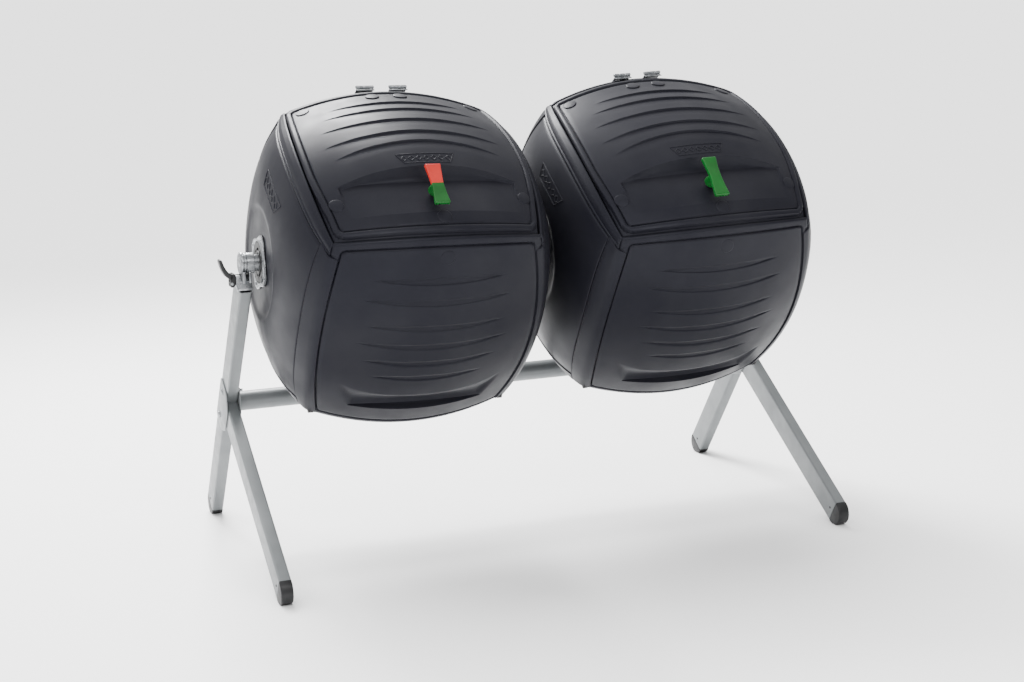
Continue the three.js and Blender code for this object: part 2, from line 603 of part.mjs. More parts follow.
for (const [name, side] of Object.entries(sides)) {
  const axleHalf = new THREE.Group();
  axleHalf.position.set(side * LEG_X, 0, AXLE_HEIGHT);
  axleHalf.rotation.y = -side * DROOP * DEG;
  tumbler.add(axleHalf);
  const drum = new THREE.Group();
  drum.position.x = side * (DRUM_OFFSET - LEG_X);
  drum.rotation.x = LID_TILT[name] * DEG;
  axleHalf.add(drum);

  const grid = evenly(8, SEAM);
  const fixedSides = { rear_upper_panel: -90, rear_lower_panel: -180, front_panel: 90 };
  for (const [part, turn] of Object.entries(fixedSides)) {
    const panel = addMesh(drum, `${name}_${part}`, sidePanel(grid, grid), drumPlastic);
    panel.rotation.x = turn * DEG;
  }
  for (const [place, facing] of [['outer', side], ['inner', -side]]) {
    const end = new THREE.Group();
    if (facing < 0) end.rotation.z = Math.PI;
    drum.add(end);
    addMesh(end, `${name}_${place}_end_panel`, endPanel(), drumPlastic);
    addMesh(end, `${name}_${place}_hub_plate`, hubPlate(), zinc);
    addMesh(end, `${name}_${place}_bush`, bush(), blackPlastic);
  }
  addMesh(drum, `${name}_latch_strike`, latchStrike(), zinc);

  // The lid and its latch, in the latch's own upright frame for the spindle's hole.
  const latchHole = rod(vec(0, 0, -60), vec(0, 0, 60), SPINDLE_RADIUS + 1, 12);
  latchHole.rotateX(latchLean).translate(0, latchFoot.y, latchFoot.z);
  const lidShape = sidePanel(fit(lidUs, LID_SEAM), fit(lidVs, LID_SEAM), recessDepth);
  addMesh(drum, `${name}_lid`, cut(lidShape, latchHole), drumPlastic);
  const latch = new THREE.Group();
  latch.position.set(0, latchFoot.y, latchFoot.z);
  latch.rotation.x = latchLean;
  drum.add(latch);
  addMesh(latch, `${name}_latch_handle`, latchHandle(), handlePlastic);
  addMesh(latch, `${name}_latch_tongue`, latchTongue(), zinc);

  const pinLine = HINGE_RADIUS / Math.SQRT2;
  const hinges = new THREE.Group();
  hinges.position.set(0, pinLine, pinLine);
  drum.add(hinges);
  for (const [mark, x] of [['a', -HINGE_X], ['b', HINGE_X]]) {
    const rear = hingeLeaf(x, -LEAF_LEAN * DEG, HINGE_REACH, true);
    addMesh(hinges, `${name}_hinge_base_${mark}`, rear, zinc);
    const front = hingeLeaf(x, (90 + LEAF_LEAN) * DEG, HINGE_REACH, false);
    addMesh(hinges, `${name}_hinge_leaf_${mark}`, front, zinc);
  }
}

export default tumbler;
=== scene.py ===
"""Looks of the twin compost tumbler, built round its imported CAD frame. Metres, +Z up."""

import json
import math

import bmesh
import bpy
import numpy as np
from mathutils import Matrix, Vector


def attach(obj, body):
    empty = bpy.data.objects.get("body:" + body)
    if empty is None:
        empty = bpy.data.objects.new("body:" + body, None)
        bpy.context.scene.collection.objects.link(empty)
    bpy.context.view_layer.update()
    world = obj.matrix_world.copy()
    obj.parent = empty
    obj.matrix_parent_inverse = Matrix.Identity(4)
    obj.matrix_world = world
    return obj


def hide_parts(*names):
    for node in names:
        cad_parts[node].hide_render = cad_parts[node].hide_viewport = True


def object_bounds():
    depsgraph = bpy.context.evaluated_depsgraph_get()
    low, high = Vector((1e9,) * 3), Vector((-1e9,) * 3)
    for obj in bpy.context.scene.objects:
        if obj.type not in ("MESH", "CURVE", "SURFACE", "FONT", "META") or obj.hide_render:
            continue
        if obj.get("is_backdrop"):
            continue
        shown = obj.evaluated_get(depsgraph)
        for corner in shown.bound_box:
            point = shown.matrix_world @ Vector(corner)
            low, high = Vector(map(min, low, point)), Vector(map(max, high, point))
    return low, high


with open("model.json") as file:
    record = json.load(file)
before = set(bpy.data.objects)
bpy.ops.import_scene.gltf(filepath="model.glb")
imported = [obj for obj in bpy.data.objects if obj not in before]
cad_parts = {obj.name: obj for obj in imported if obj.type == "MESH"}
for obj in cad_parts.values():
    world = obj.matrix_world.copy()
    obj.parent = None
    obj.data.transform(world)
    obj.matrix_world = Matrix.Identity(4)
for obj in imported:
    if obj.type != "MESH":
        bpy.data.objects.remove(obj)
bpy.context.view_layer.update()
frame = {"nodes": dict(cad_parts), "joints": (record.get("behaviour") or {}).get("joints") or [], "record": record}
JOINTS = {joint["name"]: joint for joint in frame["joints"]}
SIDES = {"left": -1, "right": 1}
MM = 0.001

# ---- driving dimensions of the drum, in millimetres, as the CAD frame has them ----
HALF_SIDE = 360 / math.sqrt(2)
HALF_LENGTH = 250
EDGE_BOW = 35
RIM_BOW = 44.5
WIDTH_BOW = 24.5
SIDE_CROWN = 20
END_DOME = 95
END_FULLNESS = 4
WALL = 0.976
SEAM = 0.994
LID_SEAM = 0.989
HUB_FLOOR = 334
HUB_SEAT_RADIUS = 128
HUB_SEAT_EDGE = 142
HINGE_RADIUS = 416.5
LATCH_V = -0.6
UNIT = 270  # millimetres in one unit of u or v, about

# ---- details of the mouldings ----
EDGE_ROUND = 7  # radius of every panel's edge
LID_PANEL = {"side": 0.925, "top": 0.862, "bottom": -0.895}
LID_RIBS = [(0.62, 0.0, 0.62), (0.476, -0.01, 0.7), (0.286, -0.03, 0.76), (0.097, -0.07, 0.78), (-0.04, -0.11, 0.72)]
RECESS = {"half_width": 0.785, "bottom": -0.79, "crease": -0.437, "top": -0.34, "top_at_ends": -0.455, "depth": 25}
FRONT_PANEL = {"side": 0.94, "top": 0.915, "bottom": -0.93}
FRONT_RIBS = [(0.62, 0.05, 0.62), (0.437, 0.06, 0.68), (0.204, 0.05, 0.62), (0.02, 0.06, 0.68),
              (-0.161, 0.05, 0.6), (-0.33, 0.04, 0.5)]
CRESCENT = 15  # width of the front's crescents at mid length, in millimetres
SCOOP = {"half_width": 0.73, "narrowing": 0.1, "top": -0.43, "dip": 7, "ridge": -0.625, "ridge_drop": 0.095,
         "slot_half": 0.63, "slot_low": -0.735, "slot_depth": 17}
STEP = 1.3  # half the width of a rib's step
WRAP = 0.87  # how far across an end's face the corner mouldings leave it free


def smooth(low, high, value):
    t = np.clip((value - low) / (high - low), 0, 1)
    return t * t * (3 - 2 * t)


def side_surface(u, v):
    bow_u, bow_v = 1 - u * u, 1 - v * v
    return np.stack([u * (HALF_LENGTH + WIDTH_BOW * bow_v), v * (HALF_SIDE + EDGE_BOW * bow_u),
                     HALF_SIDE + EDGE_BOW * bow_u + RIM_BOW * bow_v + SIDE_CROWN * bow_u * bow_v], -1)


def end_surface(a, b):
    """An end of the drum, facing +X."""
    bow_a, bow_b = 1 - a * a, 1 - b * b
    crown = (1 - np.abs(a) ** END_FULLNESS) * (1 - np.abs(b) ** END_FULLNESS)
    out = HALF_LENGTH + WIDTH_BOW * (bow_a + bow_b) + (END_DOME - 2 * WIDTH_BOW) * crown
    y, z = a * (HALF_SIDE + RIM_BOW * bow_b), b * (HALF_SIDE + RIM_BOW * bow_a)
    seat = 1 - smooth(HUB_SEAT_RADIUS, HUB_SEAT_EDGE, np.hypot(y, z))
    return np.stack([out + (HUB_FLOOR - out) * seat, y, z], -1)


def end_side_up(a, b):
    """The same end, turned so that it faces +Z and its a runs along X."""
    p = end_surface(a, b)
    return np.stack([p[..., 1], p[..., 2], p[..., 0]], -1)


def normals(surface, u, v):
    step = 1e-3
    along = surface(u + step, v) - surface(u - step, v)
    across = surface(u, v + step) - surface(u, v - step)
    n = np.cross(along, across)
    return n / np.linalg.norm(n, axis=-1, keepdims=True)


def raised(surface, u, v, height):
    u, v = np.broadcast_arrays(np.asarray(u, float), np.asarray(v, float))
    height = np.broadcast_to(np.asarray(height, float), u.shape)
    return surface(u, v) + normals(surface, u, v) * height[..., None]


# ---- placing ----
def drum_frames(name):
    """The drum's own frame at rest, from its axle and its lid's hinge: millimetres to metres."""
    spin, hinge = JOINTS[f"{name}_drum_spin"], JOINTS[f"{name}_lid_hinge"]
    centre, x = Vector(spin["pos_m"]), Vector(spin["axis"]).normalized()
    out = Vector(hinge["pos_m"]) - centre
    out = (out - x * out.dot(x)).normalized()
    y = Matrix.Rotation(math.radians(-45), 3, x) @ out
    z = Matrix.Rotation(math.radians(45), 3, x) @ out
    turn = Matrix((x, y, z)).transposed().to_4x4()
    return Matrix.Translation(centre) @ turn @ Matrix.Scale(MM, 4)


DRUMS = {name: drum_frames(name) for name in SIDES}
TURNS = {"lid": 0, "front_panel": 90, "rear_upper_panel": -90, "rear_lower_panel": 180}


def side_matrix(name, panel):
    return DRUMS[name] @ Matrix.Rotation(math.radians(TURNS[panel]), 4, "X")


def end_matrix(name, facing):
    return DRUMS[name] @ Matrix.Rotation(0 if facing > 0 else math.pi, 4, "Z")


def end_up_matrix(name, facing):
    cycle = Matrix(((0, 0, 1, 0), (1, 0, 0, 0), (0, 1, 0, 0), (0, 0, 0, 1)))
    return end_matrix(name, facing) @ cycle


# ---- mesh helpers ----
def add_object(name, points, faces, matrix, material, body, slot, sharp=35):
    points = np.asarray(points, float).reshape(-1, 3)
    m = np.array(matrix)
    points = points @ m[:3, :3].T + m[:3, 3]
    mesh = bpy.data.meshes.new(name)
    mesh.from_pydata(points.tolist(), [], faces)
    bm = bmesh.new()
    bm.from_mesh(mesh)
    bmesh.ops.remove_doubles(bm, verts=bm.verts, dist=2e-6)
    bmesh.ops.recalc_face_normals(bm, faces=bm.faces)
    bm.to_mesh(mesh)
    bm.free()
    mesh.shade_smooth()
    if sharp:
        mesh.set_sharp_from_angle(angle=math.radians(sharp))
    mesh.materials.append(material)
    o = bpy.data.objects.new(name, mesh)
    bpy.context.scene.collection.objects.link(o)
    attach(o, body)
    return o


def join_parts(parts):
    """Several (points, faces) as one."""
    points, faces, start = [], [], 0
    for p, f in parts:
        p = np.asarray(p, float).reshape(-1, 3)
        points.append(p)
        faces += [[i + start for i in face] for face in f]
        start += len(p)
    return np.concatenate(points), faces


def shell(outer, inner_rows, inner_cols, inner):
    """A closed wall: a fine outer sheet and an inner one on some of its grid lines."""
    rows, cols = outer.shape[:2]
    index = np.arange(rows * cols).reshape(rows, cols)
    quads = np.stack([index[:-1, :-1], index[1:, :-1], index[1:, 1:], index[:-1, 1:]], -1).reshape(-1, 4)
    faces = quads.tolist()
    small = rows * cols + np.arange(len(inner_rows) * len(inner_cols)).reshape(len(inner_rows), -1)
    quads = np.stack([small[:-1, :-1], small[:-1, 1:], small[1:, 1:], small[1:, :-1]], -1).reshape(-1, 4)
    faces += quads.tolist()
    for edge in (0, -1):
        for k in range(len(inner_rows) - 1):
            run = list(index[inner_rows[k]:inner_rows[k + 1] + 1, edge])
            faces.append([int(i) for i in run + [small[k + 1, edge], small[k, edge]]])
        for k in range(len(inner_cols) - 1):
            run = list(index[edge, inner_cols[k]:inner_cols[k + 1] + 1])
            faces.append([int(i) for i in run + [small[edge, k + 1], small[edge, k]]])
    return np.concatenate([outer.reshape(-1, 3), inner.reshape(-1, 3)]), faces


def grid_lines(limit, step, extra=()):
    """Even lines from -limit to limit, with more where an edge is rounded or a line falls."""
    even = np.linspace(-limit, limit, int(round(2 * limit / step)) + 1)
    near = np.array([0.0012, 0.0035, 0.007, 0.012, 0.0185])
    wanted = np.concatenate([limit - near, near - limit, *[np.asarray(e, float) for e in extra]])
    keep = even[np.min(np.abs(even[:, None] - wanted[None, :]), axis=1) > step * 0.45]
    keep = np.concatenate([[-limit], keep, [limit]])
    return np.unique(np.round(np.concatenate([keep, wanted]), 6))


def edge_drop(distance, radius=EDGE_ROUND):
    """How far a rounded edge falls at some distance from the edge, in millimetres."""
    d = np.clip(distance, 0, radius)
    return radius - np.sqrt(np.maximum(radius ** 2 - (radius - d) ** 2, 0))


def every(count, step):
    picked = list(range(0, count, step))
    return picked if picked[-1] == count - 1 else picked + [count - 1]


def box_distance(u, v, side, bottom, top, corner=8):
    """Signed distance in millimetres to a panel's outline with round corners, positive outside."""
    dx = (np.abs(u) - side) * UNIT + corner
    dy = np.maximum(v - top, bottom - v) * UNIT + corner
    outside = np.hypot(np.maximum(dx, 0), np.maximum(dy, 0))
    return outside + np.minimum(np.maximum(dx, dy), 0) - corner


def rib_line(u, rib):
    middle, bend, half = rib
    x = np.clip(np.abs(u) / half, 0, 1)
    return middle + bend * x * x


def crescent_depth(u, v, ribs, width, depth):
    """Shallow crescents: each lies above its line, deepest at the ledge along it."""
    total = np.zeros_like(u)
    for rib in ribs:
        fade = np.clip(1 - (np.abs(u) / rib[2]) ** 2, 0, 1)
        w = (v - rib_line(u, rib)) * UNIT
        top = np.maximum(width * fade, 0.5)
        inside = smooth(-1.2, 1.2, w) * (1 - smooth(top - 2.5, top + 1.5, w))
        total += depth * np.minimum(3 * fade, 1) * inside * (1 - 0.35 * np.clip(w / top, 0, 1))
    return total


def rib_height(u, v, ribs, rise, fall, reach):
    """Crescent steps: the skin swells towards each line from one side and starts low on the other."""
    total = np.zeros_like(u)
    for rib in ribs:
        fade = np.clip(1 - (np.abs(u) / rib[2]) ** 2.4, 0, 1)
        w = (v - rib_line(u, rib)) * UNIT
        above = rise * np.clip(1 - w / reach, 0, 1) ** 1.4
        below = -fall * np.clip(1 + w / (0.8 * reach), 0, 1) ** 1.4
        step = smooth(-STEP, STEP, w)
        total += fade * (np.where(w > -STEP, above, 0) * step + np.where(w < STEP, below, 0) * (1 - step))
    return total


# ---- panels ----
BASE = -1.5  # the panels' plain skin, below the CAD skin, so that beads stay inside it


def lid_side(v):
    return LID_PANEL["side"] - 0.035 * smooth(-0.2, -0.9, v)


def recess_top(u):
    x = np.clip(np.abs(u) / RECESS["half_width"], 0, 1)
    return RECESS["top_at_ends"] + (RECESS["top"] - RECESS["top_at_ends"]) * (1 - x ** 2.4)


def recess_crease(u):
    return np.minimum(RECESS["crease"], recess_top(u) - 0.03)


def lid_recess(u, v):
    """A flat floor that falls from its lower edge to a crease, a cove above it, and steep side walls."""
    top, crease = recess_top(u), recess_crease(u)
    floor = (v - RECESS["bottom"]) / (crease - RECESS["bottom"])
    cove = np.sin(np.clip((top - v) / (top - crease), 0, 1) * math.pi / 2)
    x = np.clip(np.abs(u) / RECESS["half_width"], 0, 1)
    depth = RECESS["depth"] * (1 - 0.8 * x ** 2.2) * np.where(v > crease, cove, floor)
    wall = 1.9 * (RECESS["half_width"] - np.abs(u)) * UNIT
    edge = 2.4 * (top - v) * UNIT
    return np.clip(np.minimum(np.minimum(depth, wall), edge), 0, None)


def lid_knots(u):
    flat = np.ones_like(u)
    ribs = [rib_line(u, rib) for rib in reversed(LID_RIBS)]
    return [-LID_SEAM * flat, LID_PANEL["bottom"] * flat, RECESS["bottom"] * flat, recess_crease(u),
            recess_top(u), *ribs, LID_PANEL["top"] * flat, LID_SEAM * flat]


def lid_height(u, v):
    d = box_distance(u, v, lid_side(v), LID_PANEL["bottom"], LID_PANEL["top"])
    groove = -3.2 * np.exp(-((d - 1.5) / 1.7) ** 2)
    bead = 3.2 * np.sqrt(np.clip(1 - ((d - 10) / 7.6) ** 2, 0, 1))
    outer = -7.0 * smooth(16.5, 19, d)
    inside = rib_height(u, v, LID_RIBS, 2.7, 2.3, 34) - lid_recess(u, v)
    return BASE + np.where(d < 0, inside, 0) + groove + np.where(d > 2, bead, 0) + outer


def scoop_top(u):
    x = np.clip(np.abs(u) / SCOOP["half_width"], 0, 1)
    return SCOOP["top"] - 0.09 * (1 - x ** 4)


def scoop_ridge(u):
    """A ridge that looks straight from in front, over a slot that is deepest at mid length."""
    return SCOOP["ridge"] - SCOOP["ridge_drop"] * np.clip(np.abs(u) / SCOOP["slot_half"], 0, 1) ** 2


def scoop_low(u):
    return np.minimum(SCOOP["slot_low"] + 0 * u, scoop_ridge(u) - 0.012)


def front_scoop(u, v):
    top, ridge, low = scoop_top(u), scoop_ridge(u), scoop_low(u)
    down = np.clip((top - v) / (top - ridge), 0, 1)
    ends = SCOOP["half_width"] - SCOOP["narrowing"] * down - np.abs(u)
    dip = SCOOP["dip"] * (np.sin(math.pi * down ** 1.5) ** 1.2 + 0.25 * down) * (v > low)
    dip = np.minimum(dip, 0.5 * np.clip(ends, 0, 1) * UNIT)
    across = np.clip(1 - (np.abs(u) / SCOOP["slot_half"]) ** 2, 0, 1)
    slot = np.minimum(4.0 * (ridge - v) * UNIT, 3.0 * (v - low) * UNIT)
    slot = np.minimum(slot, SCOOP["slot_depth"] * across ** 0.6)
    return np.clip(dip, 0, None) + np.clip(slot, 0, None)


def front_knots(u):
    flat = np.ones_like(u)
    ribs = [rib_line(u, rib) for rib in reversed(FRONT_RIBS)]
    return [-SEAM * flat, FRONT_PANEL["bottom"] * flat, scoop_low(u), scoop_ridge(u), scoop_top(u),
            *ribs, FRONT_PANEL["top"] * flat, SEAM * flat]


def front_side(v):
    return FRONT_PANEL["side"] - 0.05 * v * v


def front_height(u, v):
    d = box_distance(u, v, front_side(v), FRONT_PANEL["bottom"], FRONT_PANEL["top"], 5)
    groove = -4.0 * np.exp(-((d - 1.5) / 1.8) ** 2)
    band = 0.6 * smooth(2, 5, d)
    inside = 0.4 - crescent_depth(u, v, FRONT_RIBS, CRESCENT, 2.8) - front_scoop(u, v)
    under_corner = 2.2 * smooth(0.952, 0.958, np.abs(u)) * smooth(0.9, 0.89, v)
    return BASE + np.where(d < 0, inside, 0) + groove + band - under_corner


def side_panel(name, panel, seam, height, side_of, knots, lines_v, lines_u, material, body):
    us = grid_lines(seam, 0.021, lines_u)
    at_middle = np.array(knots(np.zeros(1)))[:, 0]
    beside = np.array([-1.0, -0.5, 0.0, 0.5, 1.0, 2.4]) * STEP / UNIT
    if panel != "lid":
        lines_v = [*lines_v, *[k + (CRESCENT + np.array([-2.5, -1.2, 0.0, 1.5])) / UNIT for k in at_middle[5:-2]],
                   SCOOP["ridge"] - np.array([0.008, 0.016]), SCOOP["slot_low"] + np.array([0.008, 0.016, 0.024])]
    vs = grid_lines(seam, 0.0125, [*lines_v, *[k + beside for k in at_middle[2:-2]]])
    s, t = np.meshgrid(us, vs, indexing="ij")
    nominal = side_of(np.zeros(1))[0]
    pull = np.where(np.abs(s) < nominal, s / nominal, np.sign(s) * (seam - np.abs(s)) / (seam - nominal))
    u, v = s, t
    for _ in range(2):
        u = s + (side_of(v) - nominal) * pull
        places = np.array([knots(u[:, j]) for j in range(len(vs))])
        v = np.stack([[np.interp(vs[j], at_middle, places[j, :, i]) for j in range(len(vs))]
                      for i in range(len(us))])
    edge = (seam - np.maximum(np.abs(u), np.abs(v))) * UNIT
    outer = raised(side_surface, u, v, height(u, v) - edge_drop(edge))
    rows, cols = every(len(us), 4), every(len(vs), 8)
    inner = side_surface(u, v)[np.ix_(rows, cols)] * WALL
    inner[..., 2] -= (lid_recess(u, v) if panel == "lid" else front_scoop(u, v))[np.ix_(rows, cols)] + 2
    points, faces = shell(outer, rows, cols, inner)
    node = f"{name}_{panel}"
    o = add_object(f"{node}_skin", points, faces, side_matrix(name, panel), material, body, "drum_plastic")
    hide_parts(node)
    return o


def end_height(a, b):
    flange = 0.89
    d = (b - flange) * UNIT
    groove = -2.6 * np.exp(-((d + 1.5) / 1.6) ** 2)
    ridge = 1.6 * np.sqrt(np.clip(1 - ((d - 3) / 2.6) ** 2, 0, 1))
    second = 2.4 * np.sqrt(np.clip(1 - ((d - 15) / 8) ** 2, 0, 1))
    return BASE + groove + ridge + second


def end_panel(name, place, facing, material):
    lines = [np.array([0.8715, 0.878, 0.884, 0.889, 0.8935, 0.9, 0.906, 0.912, 0.92, 0.93, 0.94, 0.95, 0.957])]
    rs = grid_lines(SEAM, 0.024)
    bs = grid_lines(SEAM, 0.024, lines)
    s, b = np.meshgrid(rs, bs, indexing="ij")
    free = np.where(b > 0.862, 1.0, WRAP + 0.004)
    a = s * free
    edge = (SEAM - np.maximum(np.abs(s), np.abs(b))) * UNIT
    outer = raised(end_surface, a, b, end_height(a, b) - edge_drop(edge, 4))
    rows, cols = every(len(rs), 3), every(len(bs), 3)
    inner = end_surface(a, b)[np.ix_(rows, cols)] * WALL
    points, faces = shell(outer, rows, cols, inner)
    node = f"{name}_{place}_end_panel"
    o = add_object(f"{node}_skin", points, faces, end_matrix(name, facing), material, f"{name}_drum", "drum_plastic")
    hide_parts(node)
    return o


def corner_strip(v_low, v_high, slant, side_reach, sign):
    """A moulding round the edge between a side panel and an end, in the side panel's frame."""
    near = 1 - 9 / UNIT
    along = np.linspace(0, 1, 80)
    tips = np.array([0.0, 0.004, 0.01])
    along = np.unique(np.concatenate([along, tips, 1 - tips]))
    stations = [("side", t) for t in np.linspace(0, 1, 12)]
    stations += [("arc", t) for t in np.linspace(0, 1, 9)[1:-1]]
    stations += [("end", t) for t in np.linspace(0, 1, 12)]

    def on_side(u, v):
        return side_surface(u, v), normals(side_surface, u, v)

    def on_end(a, v):
        turned = [np.stack([q[:, 0], q[:, 2], -q[:, 1]], -1) for q in (end_surface(a, v), normals(end_surface, a, v))]
        return turned[0], turned[1]

    rows, backs = [], []
    for k, (kind, t) in enumerate(stations):
        share = k / (len(stations) - 1)
        bottom = v_low - (slant * share if slant < 0 else 0) * -1
        top = v_high + (slant * share if slant > 0 else 0)
        vs = bottom + (top - bottom) * along
        full = np.ones_like(vs)
        if kind == "side":
            reach = side_reach(vs)
            p, n = on_side(reach + (near - reach) * t, vs)
        elif kind == "end":
            p, n = on_end(-near + (near - WRAP) * t * full, vs)
        else:
            (p0, n0), (p2, n2) = on_side(near * full, vs), on_end(-near * full, vs)
            p1 = side_surface(full, vs)
            p = p0 * (1 - t) ** 2 + 2 * t * (1 - t) * p1 + p2 * t ** 2
            n = n0 * (1 - t) + n2 * t
            n = n / np.linalg.norm(n, axis=-1, keepdims=True)
        border = edge_drop(np.array([min(share, 1 - share) * 90.0]), 3)[0]
        tip = edge_drop(np.minimum(along, 1 - along) * (top - bottom) * UNIT, 4)
        rows.append(p + n * (1.0 - border - tip)[:, None])
        backs.append(p - n * 5)
    outer, inner = np.array(rows), np.array(backs)
    if sign < 0:
        outer[..., 0] *= -1
        inner[..., 0] *= -1
    n, m = outer.shape[:2]
    return shell(outer, list(range(n)), list(range(m)), inner)


# ---- small details on a surface ----
def local_uv(surface, u0, v0, dx, dy):
    step = 1e-3
    pu = np.linalg.norm(surface(np.array(u0 + step), np.array(v0)) - surface(np.array(u0 - step), np.array(v0))) / (2 * step)
    pv = np.linalg.norm(surface(np.array(u0), np.array(v0 + step)) - surface(np.array(u0), np.array(v0 - step))) / (2 * step)
    return u0 + dx / pu, v0 + dy / pv


def disc(surface, u0, v0, radius, base, rise=2.0, sides=48):
    """A round plug pressed into the skin: a raised flat top with a rounded edge."""
    rings = [(0.45, rise), (radius - 2.2, rise), (radius - 1.1, rise - 0.25), (radius - 0.3, rise - 0.9),
             (radius, rise - 1.8), (radius, -3)]
    angles = np.linspace(0, 2 * math.pi, sides, endpoint=False)
    points = []
    for r, h in rings:
        u, v = local_uv(surface, u0, v0, r * np.cos(angles), r * np.sin(angles))
        points.append(raised(surface, u, v, base + h))
    faces = [list(range(sides))]
    for k in range(len(rings) - 1):
        for i in range(sides):
            j = (i + 1) % sides
            faces.append([k * sides + i, k * sides + j, (k + 1) * sides + j, (k + 1) * sides + i])
    faces.append([(len(rings) - 1) * sides + i for i in reversed(range(sides))])
    return np.concatenate(points), faces


def bead(points, ups, radius, closed=True, sides=8):
    """A round bead along points, half sunk into the skin."""
    points, ups = np.asarray(points, float), np.asarray(ups, float)
    count = len(points)
    if closed:
        along = np.roll(points, -1, 0) - np.roll(points, 1, 0)
    else:
        along = np.gradient(points, axis=0)
    along /= np.linalg.norm(along, axis=1, keepdims=True)
    across = np.cross(along, ups)
    across /= np.linalg.norm(across, axis=1, keepdims=True)
    angles = np.linspace(0, 2 * math.pi, sides, endpoint=False)
    ring = [points + radius * (np.cos(a) * across + np.sin(a) * ups) for a in angles]
    out = np.stack(ring, 1).reshape(-1, 3)
    faces = []
    for i in range(count if closed else count - 1):
        j = (i + 1) % count
        for k in range(sides):
            m = (k + 1) % sides
            faces.append([i * sides + k, i * sides + m, j * sides + m, j * sides + k])
    if not closed:
        faces += [list(range(sides))[::-1], [(count - 1) * sides + k for k in range(sides)]]
    return out, faces


def bead_on(surface, corners, radius, base, closed=True, per_side=14):
    """A bead along straight runs between (u, v) corners."""
    corners = [np.array(c, float) for c in corners]
    ends = corners[1:] + corners[:1] if closed else corners[1:]
    path = []
    for start, end in zip(corners, ends):
        path += [start + (end - start) * k / per_side for k in range(per_side)]
    if not closed:
        path.append(corners[-1])
    path = np.array(path)
    points = raised(surface, path[:, 0], path[:, 1], base)
    return bead(points, normals(surface, path[:, 0], path[:, 1]), radius, closed)


def badge(surface, corners, base, rows):
    """A plain embossed plaque: a bead round it and a row of lozenges, with no lettering."""
    (x0, y0), (x1, y1), (x2, y2), (x3, y3) = corners
    parts = [bead_on(surface, corners, 1.4, base)]
    count = rows
    for k in range(count):
        t = (k + 0.5) / count
        cx = (x0 + (x1 - x0) * t + x3 + (x2 - x3) * t) / 2
        cy = (y0 + (y1 - y0) * t + y3 + (y2 - y3) * t) / 2
        along = np.array([x1 - x0, y1 - y0]) / count * 0.36
        down = np.array([x3 - x0 + x2 - x1, y3 - y0 + y2 - y1]) / 2 * 0.26
        c = np.array([cx, cy])
        parts.append(bead_on(surface, [c - along, c - down, c + along, c + down], 1.3, base, per_side=5))
    return join_parts(parts)


# ---- materials ----
def new_material(name, color, roughness, metallic=0.0):
    m = bpy.data.materials.new(name)
    m.use_nodes = True
    shader = m.node_tree.nodes["Principled BSDF"]
    shader.inputs["Base Color"].default_value = (*color, 1)
    shader.inputs["Roughness"].default_value = roughness
    shader.inputs["Metallic"].default_value = metallic
    return m, m.node_tree, shader


def noise(tree, scale, detail=3.0, stretch=None):
    where = tree.nodes.new("ShaderNodeTexCoord")
    n = tree.nodes.new("ShaderNodeTexNoise")
    n.inputs["Scale"].default_value = scale
    n.inputs["Detail"].default_value = detail
    if stretch:
        mapping = tree.nodes.new("ShaderNodeMapping")
        mapping.inputs["Scale"].default_value = stretch
        tree.links.new(where.outputs["Object"], mapping.inputs["Vector"])
        tree.links.new(mapping.outputs["Vector"], n.inputs["Vector"])
    else:
        tree.links.new(where.outputs["Object"], n.inputs["Vector"])
    return n.outputs["Fac"]


def ramp(tree, value, low, high, out_low, out_high):
    node = tree.nodes.new("ShaderNodeMapRange")
    node.inputs["From Min"].default_value = low
    node.inputs["From Max"].default_value = high
    node.inputs["To Min"].default_value = out_low
    node.inputs["To Max"].default_value = out_high
    tree.links.new(value, node.inputs["Value"])
    return node.outputs["Result"]


def mix_color(tree, factor, first, second):
    node = tree.nodes.new("ShaderNodeMix")
    node.data_type = "RGBA"
    tree.links.new(factor, node.inputs["Factor"])
    node.inputs["A"].default_value = (*first, 1)
    node.inputs["B"].default_value = (*second, 1)
    return node.outputs["Result"]


def add_bump(tree, shader, height, strength, distance):
    node = tree.nodes.new("ShaderNodeBump")
    node.inputs["Strength"].default_value = strength
    node.inputs["Distance"].default_value = distance
    tree.links.new(height, node.inputs["Height"])
    tree.links.new(node.outputs["Normal"], shader.inputs["Normal"])


def drum_material():
    m, tree, shader = new_material("drum_hdpe", (0.006, 0.006, 0.009), 0.4)
    shader.inputs["Specular IOR Level"].default_value = 0.115
    shader.inputs["Specular Tint"].default_value = (0.88, 0.9, 1.0, 1)
    cloud = noise(tree, 5.5, 4)
    tree.links.new(mix_color(tree, ramp(tree, cloud, 0.35, 0.7, 0, 1), (0.0065, 0.0065, 0.0098), (0.0115, 0.0115, 0.0148)),
                   shader.inputs["Base Color"])
    patches = noise(tree, 14, 5)
    tree.links.new(ramp(tree, patches, 0.3, 0.72, 0.36, 0.5), shader.inputs["Roughness"])
    add_bump(tree, shader, noise(tree, 900, 2), 0.12, 0.0004)
    return m


def black_material():
    m, tree, shader = new_material("black_moulding", (0.006, 0.006, 0.007), 0.45)
    shader.inputs["Specular IOR Level"].default_value = 0.35
    tree.links.new(ramp(tree, noise(tree, 60, 3), 0.3, 0.7, 0.38, 0.55), shader.inputs["Roughness"])
    tree.links.new(mix_color(tree, noise(tree, 25), (0.0045, 0.0045, 0.0055), (0.009, 0.009, 0.010)),
                   shader.inputs["Base Color"])
    add_bump(tree, shader, noise(tree, 1200, 2), 0.15, 0.0003)
    return m


